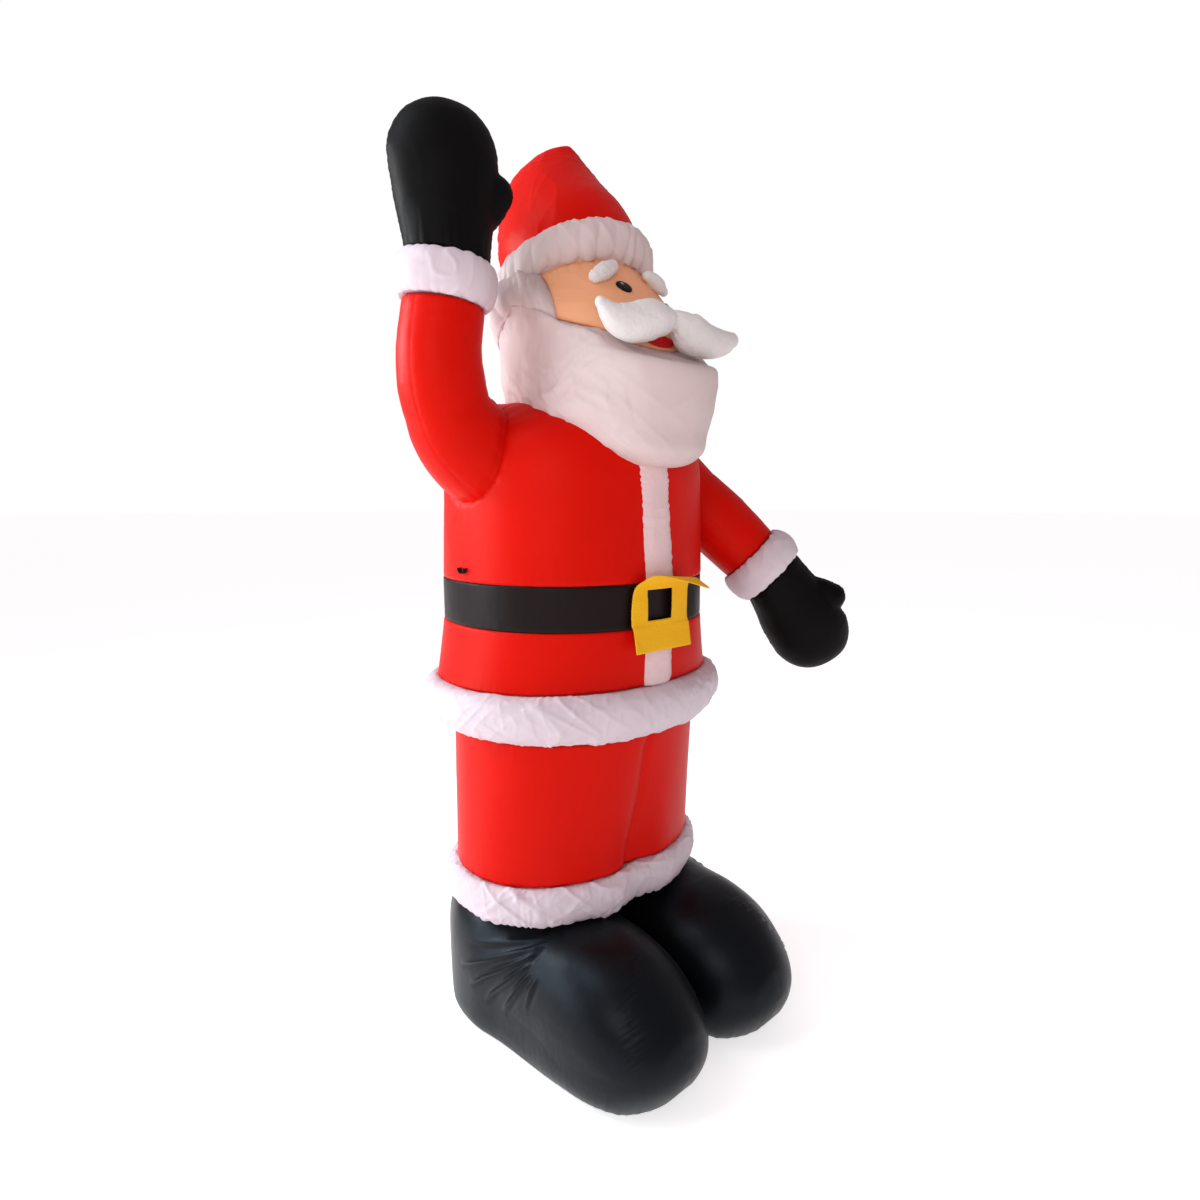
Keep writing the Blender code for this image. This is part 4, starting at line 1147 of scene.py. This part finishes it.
def build_features():
    build_moustache()
    for name, seed in (("right", 141), ("left", 151)):
        build_brow(name, seed)
        build_eye(name)
    place, *ways = face_place(0.0, MOUTH_LEVEL)
    disc("mouth", place + ways[2] * PATCH_LIFT, ways, MOUTH_HALF, PATCH_THICKNESS, MOUTH)


def disc(name, place, ways, half, thickness, finish, nodes=None):
    """A thin rounded oval patch, with its ways across, up and out."""
    across, up, out = ways
    angle = angles_round(64)
    oval = np.outer(np.sin(angle), across * half[0]) + np.outer(np.cos(angle), up * half[1])
    profile = ((-0.6, 1.0), (0.0, 1.0), (0.5, 0.985), (0.85, 0.9), (0.97, 0.7), (1.0, 0.35), (1.0, 0.02))
    rings = [place + out * thickness * away + oval * size for away, size in profile]
    make_piece(name, *closed_grid(np.array(rings)), finish, nodes)


# Trimmings

def build_strip(name, low, high, rows, seed):
    """A puffy strip sewn down the front, its free edge wavy."""
    z = np.linspace(low, high, rows)[:, None]
    s = np.linspace(-1, 1, 40)[None]
    probe = np.stack([0 * z, 0 * z, z], -1)
    wavy = 0.003 * lumps(probe, 0.035, seed) + 0.002 * noise(probe, 0.012, seed + 1)
    half = STRIP_HALF_WIDTH + wavy * np.where(s > 0, 1.0, 0.3)
    x = half * s - STRIP_LEAN * ramp(z, BELT, BEARD_BOTTOM)
    z = z + 0 * s
    width, depth = np.moveaxis(body_half(z)[0], -1, 0)
    y = -depth * np.clip(1 - (np.abs(x) / width) ** BODY_SQUARENESS, 0, 1) ** (1 / BODY_SQUARENESS)
    base = np.stack([x, y, z], -1)
    amount = STRIP_CROWN * (1 - np.abs(s) ** 3.0) + 0.0022 * lumps(base, 0.04, seed + 4)
    amount = amount + 0.0018 * folds(base * (0.5, 0.5, 1.6), 0.035, seed + 2)
    amount += gathers(z - low, (1 - np.abs(s)) * STRIP_HALF_WIDTH, 70, seed + 3, 0.004, 0.012)
    front = base - np.array([0.0, 1.0, 0.0]) * np.maximum(amount, 0.001)[..., None]
    make_piece(name, *slab(front, base + (0.0, STRIP_SINK, 0.0)), STRIP_WHITE)


def build_strips():
    build_strip("front_strip_upper", BELT + 0.001, BEARD_BOTTOM + 0.02, 90, 161)
    build_strip("front_strip_lower", COAT_TRIM + 0.001, SKIRT - 0.001, 50, 171)


def build_buckle():
    last = len(BUCKLE_SHEET) - 1
    knots = [(i, *row) for i, row in enumerate(BUCKLE_SHEET)]
    # Below, beside and above the window
    low_rows, window_rows, part_columns = 22, 20, 15
    rows = np.concatenate([
        np.linspace(0, 2, low_rows), np.linspace(2, 3, window_rows)[1:], np.linspace(3, last, 30)[1:],
    ])
    up, out, left, right = curve(knots, rows).T
    y, z = -BELT_HALF[1] - BUCKLE_CLEARANCE - out, SKIRT + up
    width = right - left
    curl = ramp(rows, 3, last)
    inner_left = BUCKLE_WINDOW[0] + (left + width * 0.3 - BUCKLE_WINDOW[0]) * curl
    inner_left = np.maximum(inner_left, left + 0.15 * width)
    inner_right = BUCKLE_WINDOW[1] + (left + width * 0.6 - BUCKLE_WINDOW[1]) * curl
    inner_right = np.maximum(inner_right, inner_left + 0.2 * width)
    edges = (left, inner_left, inner_right, right)
    s = np.linspace(0, 1, part_columns)[None]
    parts = [a[:, None] + (b - a)[:, None] * s for a, b in zip(edges, edges[1:])]
    x = np.concatenate([parts[0], parts[1][:, 1:], parts[2][:, 1:]], 1)
    points = np.stack([x, y[:, None] + 0 * x, z[:, None] + 0 * x], -1)
    wave = 0.004 * lumps(points, 0.07, 181)
    side_bend = 0.01 * (np.abs(x) / 0.098) ** 2
    # The top sinks towards the figure's left, where it ends in a spike
    points[..., 2] -= BUCKLE_DROOP * ramp(x, -0.05, 0.1) * curl[:, None]
    points[..., 1] += wave + side_bend * bell(rows, 2.5, 1.2)[:, None]
    half_sheet = normals(points, round_about=False) * BUCKLE_THICKNESS / 2
    kept = np.ones((x.shape[0] - 1, x.shape[1] - 1), bool)
    kept[low_rows - 1:low_rows + window_rows - 2, part_columns - 1:2 * (part_columns - 1)] = False
    verts, faces = slab(points + half_sheet, points - half_sheet, kept)
    piece = make_piece("buckle", verts, faces, YELLOW)


def build_loops():
    z = BELT + LOOP_ABOVE_BELT
    reach = body_half(np.array([z]))[0][0, 0] + GAP + 0.001
    angle = np.pi + np.pi * np.linspace(0, 1, 25)
    for name, side in SIDES.items():
        rings = []
        for out, size in ((0.0, 0.0), (LOOP_WIDTH, 0.0), (LOOP_WIDTH, 1.0), (0.0, 1.0)):
            radius = LOOP_RADIUS - LOOP_THICKNESS * 0.5 * size
            x = np.full(angle.shape, side * (reach + out))
            rings.append(np.stack([x, LOOP_Y + radius * np.cos(angle), z + radius * np.sin(angle)], -1))
        make_piece("tether_loop_" + name, *closed_grid(np.array(rings).transpose(1, 0, 2)), WEBBING)


# Studio

def area_light(name, place, target, size, power, colour):
    data = bpy.data.lights.new(name, "AREA")
    data.shape = "RECTANGLE"
    data.size, data.size_y = size
    data.energy = power
    data.color = colour
    lamp = add_object(name, data)
    lamp.location = Vector(place)
    lamp.rotation_euler = (Vector(target) - Vector(place)).to_track_quat("-Z", "Y").to_euler()


def build_floor():
    mesh = bpy.data.meshes.new("floor")
    mesh.from_pydata([(-90, -90, 0), (90, -90, 0), (90, 90, 0), (-90, 90, 0)], [], [(0, 1, 2, 3)])
    finish = bpy.data.materials.new("floor_white")
    set_sockets(
        new_tree(finish).nodes["Principled BSDF"], Base_Color=(0.9, 0.9, 0.9, 1.0), Roughness=0.9,
        Emission_Color=(1.0, 1.0, 1.0, 1.0), Emission_Strength=0.62,
    )
    mesh.materials.append(finish)
    add_object("floor", mesh)


def build_world():
    """A white backdrop, and a dimmer and warmer light from all round."""
    world = bpy.data.worlds.new("studio")
    tree = new_tree(world)
    link = tree.links.new
    around = set_sockets(tree.nodes["Background"], Color=(1.0, 0.88, 0.92, 1.0), Strength=0.44)
    backdrop = add_node(tree, "Background", Color=(1.0, 1.0, 1.0, 1.0), Strength=1.0)
    either = tree.nodes.new("ShaderNodeMixShader")
    link(tree.nodes.new("ShaderNodeLightPath").outputs["Is Camera Ray"], either.inputs["Fac"])
    link(around.outputs["Background"], either.inputs[1])
    link(backdrop.outputs["Background"], either.inputs[2])
    link(either.outputs["Shader"], tree.nodes["World Output"].inputs["Surface"])
    bpy.context.scene.world = world
    bpy.context.scene.view_settings.view_transform = "Standard"


def build_camera():
    data = bpy.data.cameras.new("camera")
    data.sensor_width = 36.0
    data.lens = CAMERA_LENS
    camera = add_object("camera", data)
    camera.location = Vector(CAMERA_PLACE) + Vector(MIDDLE)
    camera.rotation_euler = Euler([math.radians(turn) for turn in CAMERA_TURN])
    bpy.context.scene.camera = camera


def build_studio():
    build_floor()
    build_world()
    for name, place, aim, size, power, colour in LIGHTS:
        area_light(name, place, (float(MIDDLE[0]), float(MIDDLE[1]), aim), size, power, colour)
    build_camera()


build_body()
build_boot("right", 71)
build_boot("left", 83)
build_arm("right", RIGHT_SLEEVE_LINE, (-0.02, 0.0, 1.0), (0.9, -0.44, 0.0), 201)
build_arm("left", LEFT_SLEEVE_LINE, (0.52, -0.28, -0.8), (0.45, -0.75, 0.35), 231)
build_beard()
build_face()
build_hat_trim()
build_hat()
build_features()
build_strips()
build_buckle()
build_loops()
build_studio()
